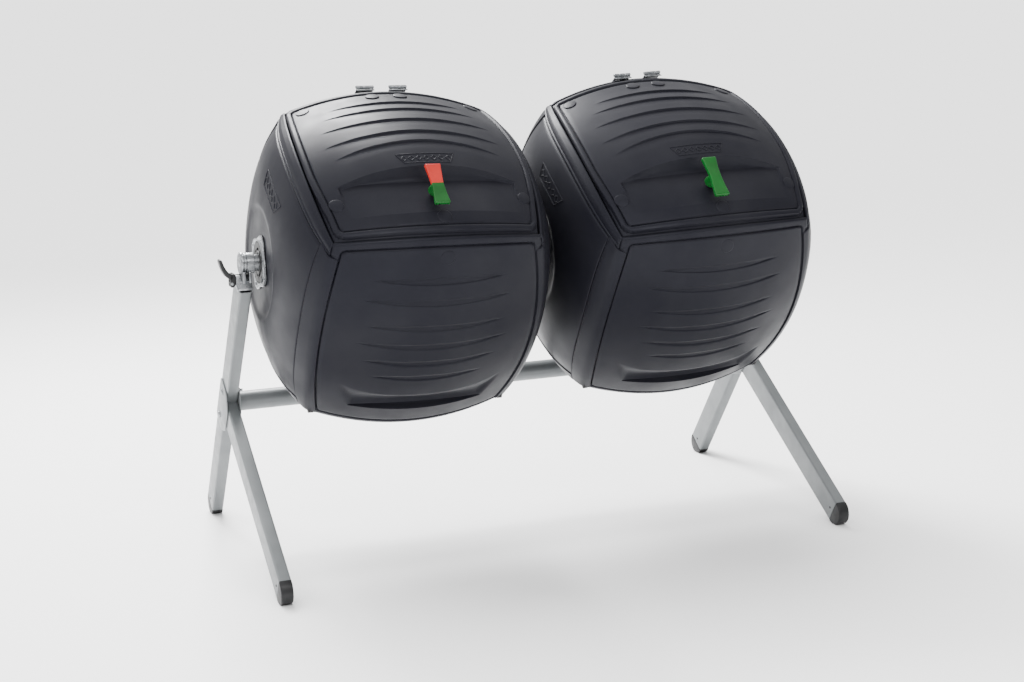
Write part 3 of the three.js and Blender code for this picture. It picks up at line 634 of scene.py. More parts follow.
def paint_material():
    m, tree, shader = new_material("silver_powder_coat", (0.19, 0.2, 0.205), 0.42, 0.3)
    tree.links.new(mix_color(tree, ramp(tree, noise(tree, 9, 4), 0.3, 0.7, 0, 1), (0.126, 0.135, 0.139),
                             (0.16, 0.17, 0.174)), shader.inputs["Base Color"])
    tree.links.new(ramp(tree, noise(tree, 40, 3), 0.3, 0.7, 0.36, 0.5), shader.inputs["Roughness"])
    add_bump(tree, shader, noise(tree, 1500, 2), 0.2, 0.0003)
    return m


def zinc_material():
    m, tree, shader = new_material("galvanised_steel", (0.35, 0.36, 0.37), 0.3, 0.9)
    cells = tree.nodes.new("ShaderNodeTexVoronoi")
    cells.inputs["Scale"].default_value = 110
    where = tree.nodes.new("ShaderNodeTexCoord")
    tree.links.new(where.outputs["Object"], cells.inputs["Vector"])
    tree.links.new(mix_color(tree, cells.outputs["Color"], (0.2, 0.209, 0.22), (0.34, 0.349, 0.36)),
                   shader.inputs["Base Color"])
    tree.links.new(ramp(tree, noise(tree, 70, 3), 0.3, 0.7, 0.22, 0.42), shader.inputs["Roughness"])
    add_bump(tree, shader, noise(tree, 500, 2), 0.12, 0.0003)
    return m


def handle_material(name, deep, bright):
    m, tree, shader = new_material(name, deep, 0.34)
    shader.inputs["Specular IOR Level"].default_value = 0.25
    tree.links.new(mix_color(tree, ramp(tree, noise(tree, 18, 3), 0.3, 0.7, 0, 1), deep, bright),
                   shader.inputs["Base Color"])
    tree.links.new(ramp(tree, noise(tree, 90, 3), 0.3, 0.7, 0.28, 0.42), shader.inputs["Roughness"])
    add_bump(tree, shader, noise(tree, 1100, 2), 0.1, 0.0002)
    return m


DRUM = drum_material()
BLACK = black_material()
PAINT = paint_material()
ZINC = zinc_material()
GREEN = handle_material("green_handle", (0.0015, 0.055, 0.006), (0.003, 0.08, 0.01))
RED = handle_material("red_handle", (0.33, 0.014, 0.009), (0.41, 0.021, 0.014))

# ---- drums ----
LID_LINES_V = [np.concatenate([t + np.array([0.0, 0.004, 0.008, 0.013, 0.02, 0.03, 0.042, 0.055, 0.066, 0.071, 0.076])
                               for t in (LID_PANEL["top"],)]),
               LID_PANEL["bottom"] - np.array([0.0, 0.004, 0.008, 0.013, 0.02, 0.03, 0.042, 0.055, 0.066, 0.071])]
LID_LINES_U = [sign * (LID_PANEL["side"] + np.array([-0.002, 0.003, 0.0065, 0.011, 0.018, 0.028, 0.038, 0.048, 0.056]))
               for sign in (-1, 1)]
LID_LINES_U += [sign * (RECESS["half_width"] - np.array([0, 0.012, 0.024, 0.036, 0.05])) for sign in (-1, 1)]
FRONT_LINES_V = [FRONT_PANEL["top"] + np.array([-0.002, 0.003, 0.0065, 0.011, 0.018]),
                 FRONT_PANEL["bottom"] - np.array([-0.002, 0.003, 0.0065, 0.011, 0.018])]
FRONT_LINES_U = [sign * (FRONT_PANEL["side"] + np.array([-0.002, 0.003, 0.0065, 0.011, 0.015, 0.019])) for sign in (-1, 1)]
LID_DISCS = [(-0.835, 0.78, 2.2), (0.8, 0.785, 2.2), (-0.165, 0.785, 3.0), (0.105, 0.785, 3.0), (-0.85, -0.64, 1.1),
             (0.85, -0.635, 1.1), (0.03, -0.835, 1.1)]  # place and rise
PLUG_RADIUS = 17.5

for name, side in SIDES.items():
    drum_body, lid_body = f"{name}_drum", f"{name}_lid"
    side_panel(name, "lid", LID_SEAM, lid_height, lid_side, lid_knots, LID_LINES_V, LID_LINES_U, DRUM, lid_body)
    for panel in ("front_panel", "rear_upper_panel", "rear_lower_panel"):
        side_panel(name, panel, SEAM, front_height, front_side, front_knots, FRONT_LINES_V, FRONT_LINES_U, DRUM,
                   drum_body)
    for place, facing in (("outer", side), ("inner", -side)):
        end_panel(name, place, facing, DRUM)

    details = [disc(side_surface, u, v, PLUG_RADIUS, BASE, rise) for u, v, rise in LID_DISCS]
    plaque = [(-0.24, -0.205), (0.27, -0.205), (0.22, -0.305), (-0.19, -0.305)]
    details.append(badge(side_surface, plaque, BASE, 7))
    points, faces = join_parts(details)
    add_object(f"{name}_lid_plugs_and_badge", points, faces, side_matrix(name, "lid"), DRUM, lid_body, "drum_plastic")

    front_details = [disc(side_surface, 0.03, 0.836, PLUG_RADIUS, BASE, 1.1)]
    points, faces = join_parts(front_details)
    add_object(f"{name}_front_plug", points, faces, side_matrix(name, "front_panel"), DRUM, drum_body, "drum_plastic")

    for panel, low, high, slant in (("front_panel", -0.985, 0.852, 0.065), ("rear_upper_panel", -0.852, 0.985, -0.065),
                                    ("rear_lower_panel", -0.86, 0.86, 0)):
        strips = [corner_strip(low, high, slant, lambda v: front_side(v) + 0.012, sign) for sign in (-1, 1)]
        points, faces = join_parts(strips)
        add_object(f"{name}_{panel}_corners", points, faces, side_matrix(name, panel), DRUM, drum_body, "drum_plastic")

    for place, facing in (("outer", side), ("inner", -side)):
        wide = [(-0.21, 0.71), (0.31, 0.71), (0.24, 0.6), (-0.14, 0.6)]
        points, faces = badge(end_side_up, [(a * facing, b) for a, b in wide] if facing > 0 else
                              [(-wide[k][0], wide[k][1]) for k in (1, 0, 3, 2)], BASE, 5)
        add_object(f"{name}_{place}_end_badge", points, faces, end_up_matrix(name, facing), DRUM, drum_body,
                   "drum_plastic")

# ---- solids for the metal and small plastic pieces, in millimetres ----
def loft(rings):
    """Closed rings of equal length joined in order, with flat ends."""
    count = len(rings[0])
    points = np.concatenate([np.asarray(r, float) for r in rings])
    faces = [list(range(count))]
    for k in range(len(rings) - 1):
        for i in range(count):
            j = (i + 1) % count
            faces.append([k * count + i, k * count + j, (k + 1) * count + j, (k + 1) * count + i])
    faces.append([(len(rings) - 1) * count + i for i in reversed(range(count))])
    return points, faces


def ring_loft(rings):
    """Closed rings of equal length joined round in a loop, for a solid with a hole."""
    count, total = len(rings[0]), len(rings)
    points = np.concatenate([np.asarray(r, float) for r in rings])
    faces = []
    for k in range(total):
        m = (k + 1) % total
        for i in range(count):
            j = (i + 1) % count
            faces.append([k * count + i, k * count + j, m * count + j, m * count + i])
    return points, faces


def lathe(profile, sides=48, hole=False):
    """Turns (x, radius) pairs about X."""
    angles = np.linspace(0, 2 * math.pi, sides, endpoint=False)
    rings = [np.stack([np.full(sides, float(x)), r * np.cos(angles), r * np.sin(angles)], -1) for x, r in profile]
    return ring_loft(rings) if hole else loft(rings)


def round_corners(outline, radius, steps=5):
    """A polygon with each corner replaced by an arc."""
    outline = [np.array(p, float) for p in outline]
    result = []
    for k, corner in enumerate(outline):
        before, after = outline[k - 1] - corner, outline[(k + 1) % len(outline)] - corner
        reach = min(radius, 0.45 * np.linalg.norm(before), 0.45 * np.linalg.norm(after))
        start = corner + before / np.linalg.norm(before) * reach
        end = corner + after / np.linalg.norm(after) * reach
        for t in np.linspace(0, 1, steps):
            result.append(start * (1 - t) ** 2 + 2 * t * (1 - t) * corner + end * t ** 2)
    return np.array(result)


def inset(outline, amount):
    """Moves a counter-clockwise outline inwards."""
    before, after = outline - np.roll(outline, 1, 0), np.roll(outline, -1, 0) - outline
    unit = [v / np.maximum(np.linalg.norm(v, axis=1, keepdims=True), 1e-9) for v in (before, after)]
    inward = [np.stack([-v[:, 1], v[:, 0]], -1) for v in unit]
    middle = inward[0] + inward[1]
    middle /= np.linalg.norm(middle, axis=1, keepdims=True)
    stretch = 1 / np.maximum(np.sum(middle * inward[0], axis=1), 0.5)
    return outline + middle * (amount * stretch)[:, None]


def rounded_prism(outline, x0, x1, radius, steps=4):
    """A (y, z) outline swept along X, its two rims rounded."""
    outline = np.asarray(outline, float)
    area = np.sum(outline[:, 0] * np.roll(outline[:, 1], -1) - np.roll(outline[:, 0], -1) * outline[:, 1])
    if area < 0:
        outline = outline[::-1]
    low, high = min(x0, x1), max(x0, x1)
    stations = [(low + radius * (1 - math.cos(a)), radius * (1 - math.sin(a)))
                for a in np.linspace(0, math.pi / 2, steps)]
    stations += [(high - radius * (1 - math.cos(a)), radius * (1 - math.sin(a)))
                 for a in np.linspace(math.pi / 2, 0, steps)]
    rings = []
    for x, shrink in stations:
        edge = inset(outline, shrink)
        rings.append(np.column_stack([np.full(len(edge), x), edge]))
    return loft(rings)


def moved(part, matrix):
    points, faces = part
    m = np.array(matrix)
    return np.asarray(points) @ m[:3, :3].T + m[:3, 3], faces


def shifted(part, x=0, y=0, z=0):
    return part[0] + np.array([x, y, z]), part[1]


# ---- the stand, in the CAD's millimetres with the axle's plane at y = 0 ----
AXLE_Y = JOINTS["left_drum_spin"]["pos_m"][1]
STAND = Matrix.Translation((0, AXLE_Y, 0)) @ Matrix.Scale(MM, 4)
LEG_X, TUBE_WIDTH, TUBE_DEPTH, TUBE_WALL, TUBE_CORNER = 730, 30, 64, 1.8, 5.5
LEG_TOP, LEG_JOINT = np.array([-12, 701.0]), np.array([247.5, 361.5])
REAR_FOOT, FRONT_FOOT = np.array([498.5, 33]), np.array([-286, 33.0])
CROSSBAR_RADIUS, PLATE, GAP = 25, 3, 0.4
FOOT_NOSE, FOOT_COLLAR = 36, 4
AXLE_REACH = 380  # each drum's middle from the end of its half axle, at the saddle
AXLE_RADIUS = 21


def axes(start, end):
    along = (end - start) / np.linalg.norm(end - start)
    return along, np.array([-along[1], along[0]])


def on_leg(start, end, distance, offset=0):
    along, across = axes(start, end)
    return start + along * distance + across * offset


def tube_section(shrink):
    half_x, half_d = TUBE_WIDTH / 2 - shrink, TUBE_DEPTH / 2 - shrink
    box = [(half_x, half_d), (-half_x, half_d), (-half_x, -half_d), (half_x, -half_d)]
    return round_corners(box, TUBE_CORNER - shrink, 6)


def leg_tube(start, end, slope=0.0):
    """A hollow tube from one (y, z) point to another; slope cuts its start at a slant."""
    along, across = axes(start, end)
    length = np.linalg.norm(end - start)

    def place(section, distance, rake):
        out = []
        for x, d in section:
            p = start + along * (distance + rake * d) + across * d
            out.append([x, *p])
        return np.array(out)

    outer, inner = tube_section(0), tube_section(TUBE_WALL)
    rim = inset(outer, 0.35)
    return ring_loft([place(inner, 0, slope), place(rim, 0, slope), place(outer, 0.4, slope),
                      place(outer, length - 0.4, 0), place(rim, length, 0), place(inner, length, 0)])


def foot_outline(start, foot):
    along, across = axes(start, foot)
    half = TUBE_DEPTH / 2
    points = [foot + along * GAP - across * half]
    for a in np.linspace(-math.pi / 2, math.pi / 2, 21):
        points.append(foot + along * (FOOT_COLLAR + (FOOT_NOSE - FOOT_COLLAR) * math.cos(a)) + across * half * math.sin(a))
    points.append(foot + along * GAP + across * half)
    points = np.array(points)
    points[:, 1] = np.maximum(points[:, 1], 0.0)
    keep = [True] + [bool(np.linalg.norm(points[k] - points[k - 1]) > 0.2) for k in range(1, len(points))]
    return points[keep]


def foot_cap(start, foot):
    """The D-shaped foot: a cap with rounded rims and a plug up the tube."""
    outline = foot_outline(start, foot)
    half = TUBE_WIDTH / 2
    parts = [rounded_prism(outline, -half, half, 3)]
    along, across = axes(start, foot)
    plug = TUBE_DEPTH / 2 - TUBE_WALL - 1.5
    corners = [foot + along * 3 + across * plug, foot - along * 24 + across * (plug - 1),
               foot - along * 24 - across * (plug - 1), foot + along * 3 - across * plug]
    parts.append(rounded_prism(round_corners(corners, 4), 3 - half + TUBE_WALL, half - TUBE_WALL - 3, 1.5))
    return join_parts(parts)


def pan_head(radius, height):
    """A domed rivet or bolt head on X = 0, facing +X."""
    return lathe([(-1, radius), (0, radius), (0.35 * height, radius * 0.97), (0.7 * height, radius * 0.8),
                  (0.92 * height, radius * 0.5), (height, radius * 0.15)], 24)


def bolt(side):
    """A carriage bolt through both gussets, nut and washer inside."""
    outer, inner = TUBE_WIDTH / 2 + GAP + PLATE + GAP, -(TUBE_WIDTH / 2 + GAP + PLATE + GAP)
    head = shifted(pan_head(8.5, 4), x=outer)
    shank = lathe([(outer + 1, 4), (inner - 13, 4), (inner - 14, 3)], 16)
    washer = lathe([(inner, 9), (inner - 1.5, 9)], 24)
    nut = lathe([(inner - 1.4, 7.5), (inner - 6.2, 7.5), (inner - 6.8, 6.9)], 6)
    part = join_parts([head, shank, washer, nut])
    return moved(part, Matrix.Diagonal((side, 1, 1, 1)))


def gusset(side, face):
    """The pressed plate over the joint, on the tube's outer (+1) or inner (-1) face."""
    along = np.linalg.norm(LEG_JOINT - LEG_TOP)
    shape = [(-68, 29), (72, 29), (72, -30), (36, -64), (-32, -66), (-72, -34)]
    outline = round_corners([on_leg(LEG_TOP, LEG_JOINT, along + a, c) for a, c in shape], 9)
    x0 = TUBE_WIDTH / 2 + GAP
    return moved(rounded_prism(outline, x0, x0 + PLATE, 0.9), Matrix.Diagonal((side * face, 1, 1, 1)))


def bolt_places():
    middle = np.linalg.norm(LEG_JOINT - LEG_TOP)
    return [on_leg(LEG_TOP, LEG_JOINT, middle + along) for along in (-44, 44)]


def leg_joint_start():
    """Where the front leg's middle line meets the main leg's front face."""
    along, across = axes(LEG_JOINT, FRONT_FOOT)
    main, face = axes(LEG_TOP, REAR_FOOT)
    reach = (TUBE_DEPTH / 2 + GAP) / abs(np.dot(along, face))
    slope = -np.dot(across, face) / np.dot(along, face)
    return LEG_JOINT + along * reach, slope


def saddle():
    """Collar and clamp ring that carry the axle's end, round X = 0, +X outwards."""
    ring = lathe([(-15, 24.2), (-14, 25), (3, 25), (3.6, 24), (4.4, 22.6), (5.4, 22.6), (6, 24), (6.6, 25),
                  (9, 25), (9.6, 24.2), (9.6, AXLE_RADIUS + 0.5), (-15, AXLE_RADIUS + 0.5)], 48, hole=True)
    return ring


def shoe():
    """The sheet saddle over the leg's top: a cap plate with short skirts and a neck, in the stand's frame."""
    along, across = axes(LEG_TOP, LEG_JOINT)
    half_x, half_d = TUBE_WIDTH / 2 + GAP + PLATE, TUBE_DEPTH / 2 - 6
    top = on_leg(LEG_TOP, LEG_JOINT, -LEG_RISE)
    parts = []
    outline = [top - along * (GAP + 0.2) + across * half_d, top - along * (GAP + 0.2) - across * half_d,
               top - along * (GAP + 4.2) - across * (half_d - 2), top - along * (GAP + 4.2) + across * (half_d - 2)]
    parts.append(rounded_prism(round_corners(outline, 1.5, 3), -half_x, half_x, 1.2))
    skirt = [top - along * 2 + across * half_d, top + along * 4 + across * (half_d - 1),
             top + along * 4 - across * (half_d - 1), top - along * 2 - across * half_d]
    for face in (-1, 1):
        x0 = face * (TUBE_WIDTH / 2 + GAP)
        parts.append(rounded_prism(round_corners(skirt, 2), x0, x0 + face * PLATE, 0.8))
    neck = [(-24, 705), (9, 703), (7, 733), (-22, 735)]
    parts.append(rounded_prism(round_corners(neck, 4), -20, -14, 1))
    parts.append(rounded_prism(round_corners(neck, 4), -6, 2, 1))
    parts.append(rounded_prism(round_corners([(-20, 704), (5, 702), (5, 712), (-20, 712)], 2), -18, 8, 1))
    return join_parts(parts)


def end_disc():
    """The pressed disc on the axle's end: a rolled rim, a dished face and a ring of small dimples."""
    start = 4.8 - 10
    profile = [(start, 20), (start, 26.4), (start + 1, 27.4), (start + 3, 27.4), (start + 4.6, 26.4),
               (start + 5.2, 24.6), (start + 4.4, 23), (start + 4.4, 8), (start + 5.4, 6), (start + 5.8, 2)]
    parts = [lathe(profile, 48)]
    for radius, count in ((11.5, 9), (16, 13), (20.3, 17)):
        for k in range(count):
            a = 2 * math.pi * k / count
            parts.append(shifted(pan_head(1.6, 1.1), x=start + 4.3, y=radius * math.cos(a), z=radius * math.sin(a)))
    return join_parts(parts)


def lever_bracket():
    """A folded sheet with an ear and the pin."""
    back = rounded_prism(round_corners([(-12, -9), (12, -9), (12, 17), (-12, 17)], 3), -0.6, 0.7, 0.4)
    parts = [back]
    ear = round_corners([(0, -6), (9, -5), (13, -4), (14, 0), (13, 4), (9, 5), (0, 6)], 1.5)
    plate = rounded_prism(ear, -4, 4, 0.6)
    parts.append((np.stack([plate[0][:, 1], plate[0][:, 0], plate[0][:, 2]], -1), plate[1]))
    pin = lathe([(-14.4, 2), (-14, 3.4), (-13.2, 3.4), (-13.2, 2.5), (13.2, 2.5), (13.2, 3.4), (14, 3.4), (14.4, 2)], 16)
    parts.append((np.stack([pin[0][:, 1] + 10.6, pin[0][:, 0], pin[0][:, 2]], -1), pin[1]))
    return join_parts(parts)


def lock_lever():
    """The black lever round its pin: a thick block that runs out into a curved blade, +X outwards."""
    start, middle, end = np.array([-3.0, 14.5]), np.array([17.0, 19.0]), np.array([25.0, 58.0])
    left, right = [], []
    for t in np.linspace(0, 1, 16):
        p = start * (1 - t) ** 2 + 2 * t * (1 - t) * middle + end * t ** 2
        slope = 2 * (1 - t) * (middle - start) + 2 * t * (end - middle)
        slope /= np.linalg.norm(slope)
        half = 7.0 - 3.4 * t if t < 0.98 else 2.4
        left.append(p + half * np.array([-slope[1], slope[0]]))
        right.append(p - half * np.array([-slope[1], slope[0]]))
    blade = rounded_prism(round_corners(np.array([*right, *left[::-1]]), 1.5, 3), -13, 13, 2)
    block = [(-9.6, 21), (-9.6, -1), (-6.6, -6.6), (-2, -9.2), (2.5, -9.2), (4, -5), (4, 10), (0, 23), (-6, 24)]
    cheeks = [rounded_prism(round_corners(block, 2), y0, y0 + 8.6, 1.2) for y0 in (-13, 4.4)]
    part = join_parts([blade, *cheeks])
    points = np.stack([part[0][:, 1], part[0][:, 0], part[0][:, 2]], -1)
    return points, part[1]


def axle_place(name, reach):
    """On the drum's axle, reach millimetres out from the drum's middle, +X outwards."""
    turned = DRUMS[name] if name == "right" else DRUMS[name] @ Matrix.Rotation(math.pi, 4, "Z")
    return turned @ Matrix.Translation((reach, 0, 0))


def place_solid(piece, part, matrix, material, body, slot, node, sharp=35):
    o = add_object(piece, *part, matrix, material, body, slot, sharp)
    if node:
        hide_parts(*([node] if isinstance(node, str) else node))
    return o


LEG_RISE = 8  # the leg's top runs on a little inside its saddle
main_leg = leg_tube(on_leg(LEG_TOP, LEG_JOINT, -LEG_RISE), REAR_FOOT)
joint_start, joint_slope = leg_joint_start()
front_leg = leg_tube(joint_start, FRONT_FOOT, joint_slope)
for name, side in SIDES.items():
    here = STAND @ Matrix.Translation((side * LEG_X, 0, 0))
    mirror = here @ Matrix.Diagonal((side, 1, 1, 1))
    rows = [("main_leg_tube", main_leg, here, PAINT, "frame_paint", "main_leg"),
            ("front_leg_tube", front_leg, here, PAINT, "frame_paint", "front_leg"),
            ("rear_foot_cap", foot_cap(LEG_TOP, REAR_FOOT), here, BLACK, "black_plastic", "rear_foot"),
            ("front_foot_cap", foot_cap(LEG_JOINT, FRONT_FOOT), here, BLACK, "black_plastic", "front_foot"),
            ("outer_gusset_plate", gusset(1, 1), mirror, PAINT, "frame_paint", "outer_gusset"),
            ("inner_gusset_plate", gusset(1, -1), mirror, PAINT, "frame_paint", "inner_gusset"),
            ("saddle_shoe", shoe(), mirror, ZINC, "zinc", "axle_saddle")]
    for k, spot in enumerate(bolt_places(), 1):
        rows.append((f"carriage_bolt_{k}", shifted(bolt(1), y=spot[0], z=spot[1]), mirror, ZINC, "zinc", f"joint_bolt_{k}"))
    for piece, part, matrix, material, slot, node in rows:
        place_solid(f"{name}_{piece}", part, matrix, material, "stand", slot, f"{name}_{node}")
    place_solid(f"{name}_axle_clamp", saddle(), axle_place(name, AXLE_REACH - 14), ZINC, "stand", "zinc", None)
    place_solid(f"{name}_axle_end_disc", end_disc(), axle_place(name, AXLE_REACH + 4), ZINC, "stand", "zinc", f"{name}_axle_cap")
    pin = np.array(JOINTS[f"{name}_lever_swing"]["pos_m"]) / MM
    at_pin = Matrix.Scale(MM, 4) @ Matrix.Translation(pin) @ Matrix.Diagonal((side, 1, 1, 1))
    at_pin = at_pin @ Matrix.Translation((0, 13, 0))
    place_solid(f"{name}_lever_blade", lock_lever(), at_pin, BLACK, f"{name}_lever", "black_plastic", f"{name}_lock_lever")
    at_back = at_pin @ Matrix.Translation((-10.6, 0, 0))
    place_solid(f"{name}_lever_sheet", lever_bracket(), at_back, ZINC, "stand", "zinc", f"{name}_lever_bracket")
    rivets = []
    for start, foot in ((LEG_TOP, REAR_FOOT), (LEG_JOINT, FRONT_FOOT)):
        for face in (-1, 1):
            spot = on_leg(start, foot, np.linalg.norm(foot - start) - 14, 0)
            head = moved(pan_head(3.2, 1.4), Matrix.Diagonal((face, 1, 1, 1)))
            rivets.append(shifted(head, x=face * TUBE_WIDTH / 2, y=spot[0], z=spot[1]))
    place_solid(f"{name}_foot_rivets", join_parts(rivets), here, BLACK, "stand", "black_plastic", None)

bar_end = LEG_X - TUBE_WIDTH / 2 - PLATE - 2 * GAP
bar_profile = [(-bar_end, CROSSBAR_RADIUS - TUBE_WALL), (-bar_end, CROSSBAR_RADIUS), (bar_end, CROSSBAR_RADIUS),
               (bar_end, CROSSBAR_RADIUS - TUBE_WALL)]
welds = []
for end in (-1, 1):
    for k in range(40):
        a = 2 * math.pi * k / 40
        blob = lathe([(-2.6, 1), (-1.4, 2.1), (0, 2.6), (1.4, 2.1), (2.6, 1)], 8)
        welds.append(shifted(blob, x=end * (bar_end - 2.6), y=(CROSSBAR_RADIUS + 0.6) * math.cos(a),
                             z=(CROSSBAR_RADIUS + 0.6) * math.sin(a)))
bar = join_parts([lathe(bar_profile, 64, hole=True), *welds])
place_solid("crossbar_tube", bar, STAND @ Matrix.Translation((0, *LEG_JOINT)), PAINT, "stand", "frame_paint", "crossbar")
halves = []
for name in SIDES:
    inner_end = -350 / math.cos(math.radians(1.68))
    profile = [(inner_end, AXLE_RADIUS - 2.5), (inner_end, AXLE_RADIUS), (AXLE_REACH, AXLE_RADIUS),
               (AXLE_REACH, AXLE_RADIUS - 2.5)]
    halves.append(moved(lathe(profile, 64, hole=True), axle_place(name, 0)))
place_solid("axle_tube", join_parts(halves), Matrix.Identity(4), ZINC, "stand", "zinc", "axle")

# ---- hubs ----
HUB_LOBE_MEAN, HUB_LOBE_SWING = 66, 8


def hub_plate():
    """A dished, lobed ring with a rolled inner rim and a screw in each lobe, facing +X."""
    count = 128
    angles = np.linspace(0, 2 * math.pi, count, endpoint=False)
    lobe = HUB_LOBE_MEAN + HUB_LOBE_SWING * np.cos(4 * angles)
    floor = HUB_FLOOR + GAP
    rings = []
    for share, rise in ((0, 0), (0, 4.2), (0.04, 5.0), (0.1, 5.2), (0.17, 4.6), (0.26, 2.6), (0.5, 2.4), (0.62, 3.4),
                        (0.8, 3.4), (0.93, 3.0), (1, 2.2), (1, 0)):
        radius = 51 + (lobe - 51) * share
        rings.append(np.stack([np.full(count, floor + rise), radius * np.cos(angles), radius * np.sin(angles)], -1))
    parts = [ring_loft(rings)]
    for k in range(4):
        a = k * math.pi / 2
        spot = {"x": floor + 3.0, "y": 65 * math.cos(a), "z": 65 * math.sin(a)}
        parts.append(shifted(pan_head(4.6, 2.4), **spot))
    return join_parts(parts)


def hub_bush():
    """The plastic bush: sleeve, flange with a chamfer, and eight drive ribs round its face."""
    floor = HUB_FLOOR
    sleeve = lathe([(floor - 26, 21.5), (floor - 26, 33), (floor + 0.4, 33), (floor + 0.4, 50), (floor + 3.6, 50),
                    (floor + 4.8, 48.8), (floor + 4.8, 36), (floor + 2.6, 34.6), (floor + 2.6, 29.5), (floor + 6, 28),
                    (floor + 6, 21.5)], 64, hole=True)
    parts = [sleeve]
    for k in range(8):
        a = 2 * math.pi * k / 8
        rib = rounded_prism([(29, -1.2), (35.5, -1.2), (35.5, 1.2), (29, 1.2)], floor + 2, floor + 4.8, 0.4, 3)
        parts.append(moved(rib, Matrix.Rotation(a, 4, "X")))
    return join_parts(parts)


for name, side in SIDES.items():
    for place, facing in (("outer", side), ("inner", -side)):
        where = end_matrix(name, facing)
        place_solid(f"{name}_{place}_hub_ring", hub_plate(), where, ZINC, f"{name}_drum", "zinc", f"{name}_{place}_hub_plate")
        place_solid(f"{name}_{place}_hub_bush", hub_bush(), where, BLACK, f"{name}_drum", "black_plastic", f"{name}_{place}_bush")

# ---- latch handles: a bow tie on a cone ----
LATCH_RISE, LATCH_LENGTH, HANDLE_THICKNESS = 24, 112, 11
GRIP_SHIFT = (-3, -6)  # the grip sits a little off its axis


def latch_frame(name):
    joint = JOINTS[f"{name}_latch_turn"]
    z = Vector(joint["axis"]).normalized()
    up = DRUMS[name].to_3x3() @ Vector((0, 1, 0))
    y = (up - z * up.dot(z)).normalized()
    x = y.cross(z)
    return Matrix.Translation(joint["pos_m"]) @ Matrix((x, y, z)).transposed().to_4x4() @ Matrix.Scale(MM, 4)


def handle_half(y0, y1, bulge, dish, waist=13.8, wide=18.6):
    """From the pivot (y0) to a tip (y1): rounded section, a tip that bulges, and a dished top."""
    rings = []
    for t in [0, 0.01, 0.1, 0.25, 0.4, 0.55, 0.7, 0.82, 0.9, 0.95, 0.98, 0.995, 1.0]:
        half = waist + (wide - waist) * min(t, 1) ** 1.25
        shrink = edge_drop(np.array([(1 - t) * abs(y1 - y0)]), 3)[0]
        height = HANDLE_THICKNESS - dish * math.sin(math.pi * t) ** 2
        box = [(half, height), (-half, height), (-half, 0), (half, 0)]
        section = inset(round_corners(box, 3, 5), min(shrink, 2.9))
        y = y0 + (y1 - y0) * t
        curve = bulge * (1 - (section[:, 0] / wide) ** 2) * t ** 6
        rings.append(np.stack([section[:, 0] + GRIP_SHIFT[0],
                               y + GRIP_SHIFT[1] + math.copysign(1, y1 - y0) * (curve - bulge * t ** 6),
                               LATCH_RISE + section[:, 1]], -1))
    return loft(rings)


def handle_cone():
    """The cone and spindle under the grip."""
    cone = lathe([(-38, 6), (-37, 7), (-5, 7), (-5, 15), (-4, 16), (1, 15), (8, 12.6), (18, 11.2), (LATCH_RISE + 1, 11)], 32)
    return np.stack([cone[0][:, 1], cone[0][:, 2], cone[0][:, 0]], -1), cone[1]


for name in SIDES:
    where = latch_frame(name)
    tip = LATCH_LENGTH / 2
    body = f"{name}_latch"
    lower = join_parts([handle_half(0.2, -tip, 1.5, 0.8), handle_cone()])
    place_solid(f"{name}_handle_lower", lower, where, GREEN, body, "handle_plastic", f"{name}_latch_handle")
    if name == "left":
        upper = handle_half(-0.2, tip, 1.0, 0.0, 13.8, 18.8)
        place_solid(f"{name}_handle_upper", upper, where, RED, body, "handle_plastic", None)
    else:
        upper = handle_half(-0.2, tip, 4.0, 1.0)
        place_solid(f"{name}_handle_upper", upper, where, GREEN, body, "handle_plastic", None)

# ---- hinges: two leaves folded round a pin ----
HINGE_WIDTH, KNUCKLE = 44, 4.3
HINGE_AT = HINGE_RADIUS / math.sqrt(2)
EDGE_SLOPE = math.atan(2 * (RIM_BOW + SIDE_CROWN) / (HALF_SIDE + EDGE_BOW))  # of the skin at the hinge edge


def knuckle(x0, x1, radius=KNUCKLE):
    bevel = 0.5
    return lathe([(x0, radius - bevel), (x0 + bevel, radius), (x1 - bevel, radius), (x1, radius - bevel)], 24)


def hinge_leaf(spans, reach, pin):
    """A leaf that lies along -Y from the pin's axis (X), a little below it, with its knuckles."""
    parts = [knuckle(x0, x1) for x0, x1 in spans]
    plate = round_corners([(-HINGE_WIDTH / 2, -reach), (HINGE_WIDTH / 2, -reach),
                           (HINGE_WIDTH / 2, 0), (-HINGE_WIDTH / 2, 0)], 2)
    flat = rounded_prism(plate, -KNUCKLE - 1.8, -KNUCKLE + 0.2, 0.4)
    parts.append((np.stack([flat[0][:, 1], flat[0][:, 2], flat[0][:, 0]], -1), flat[1]))
    for x in (-14, 14):
        head = pan_head(3.0, 1.0)
        parts.append((np.stack([head[0][:, 1] + x, head[0][:, 2] + 4.2 - reach, head[0][:, 0] + 0.2 - KNUCKLE], -1), head[1]))
    if pin:
        parts.append(lathe([(-HINGE_WIDTH / 2 - 1.6, 2.4), (-HINGE_WIDTH / 2 - 1, 3.6), (-HINGE_WIDTH / 2, 3.6),
                            (-HINGE_WIDTH / 2, 2.6), (HINGE_WIDTH / 2 + 1, 2.6), (HINGE_WIDTH / 2 + 1.4, 2)], 20))
    return join_parts(parts)


def middle_in_drum(name, node):
    """The middle of a CAD node along its drum's axle, in millimetres."""
    o = frame["nodes"][node]
    spots = [DRUMS[name].inverted() @ (o.matrix_world @ v.co) for v in o.data.vertices]
    return sum(p.x for p in spots) / len(spots)


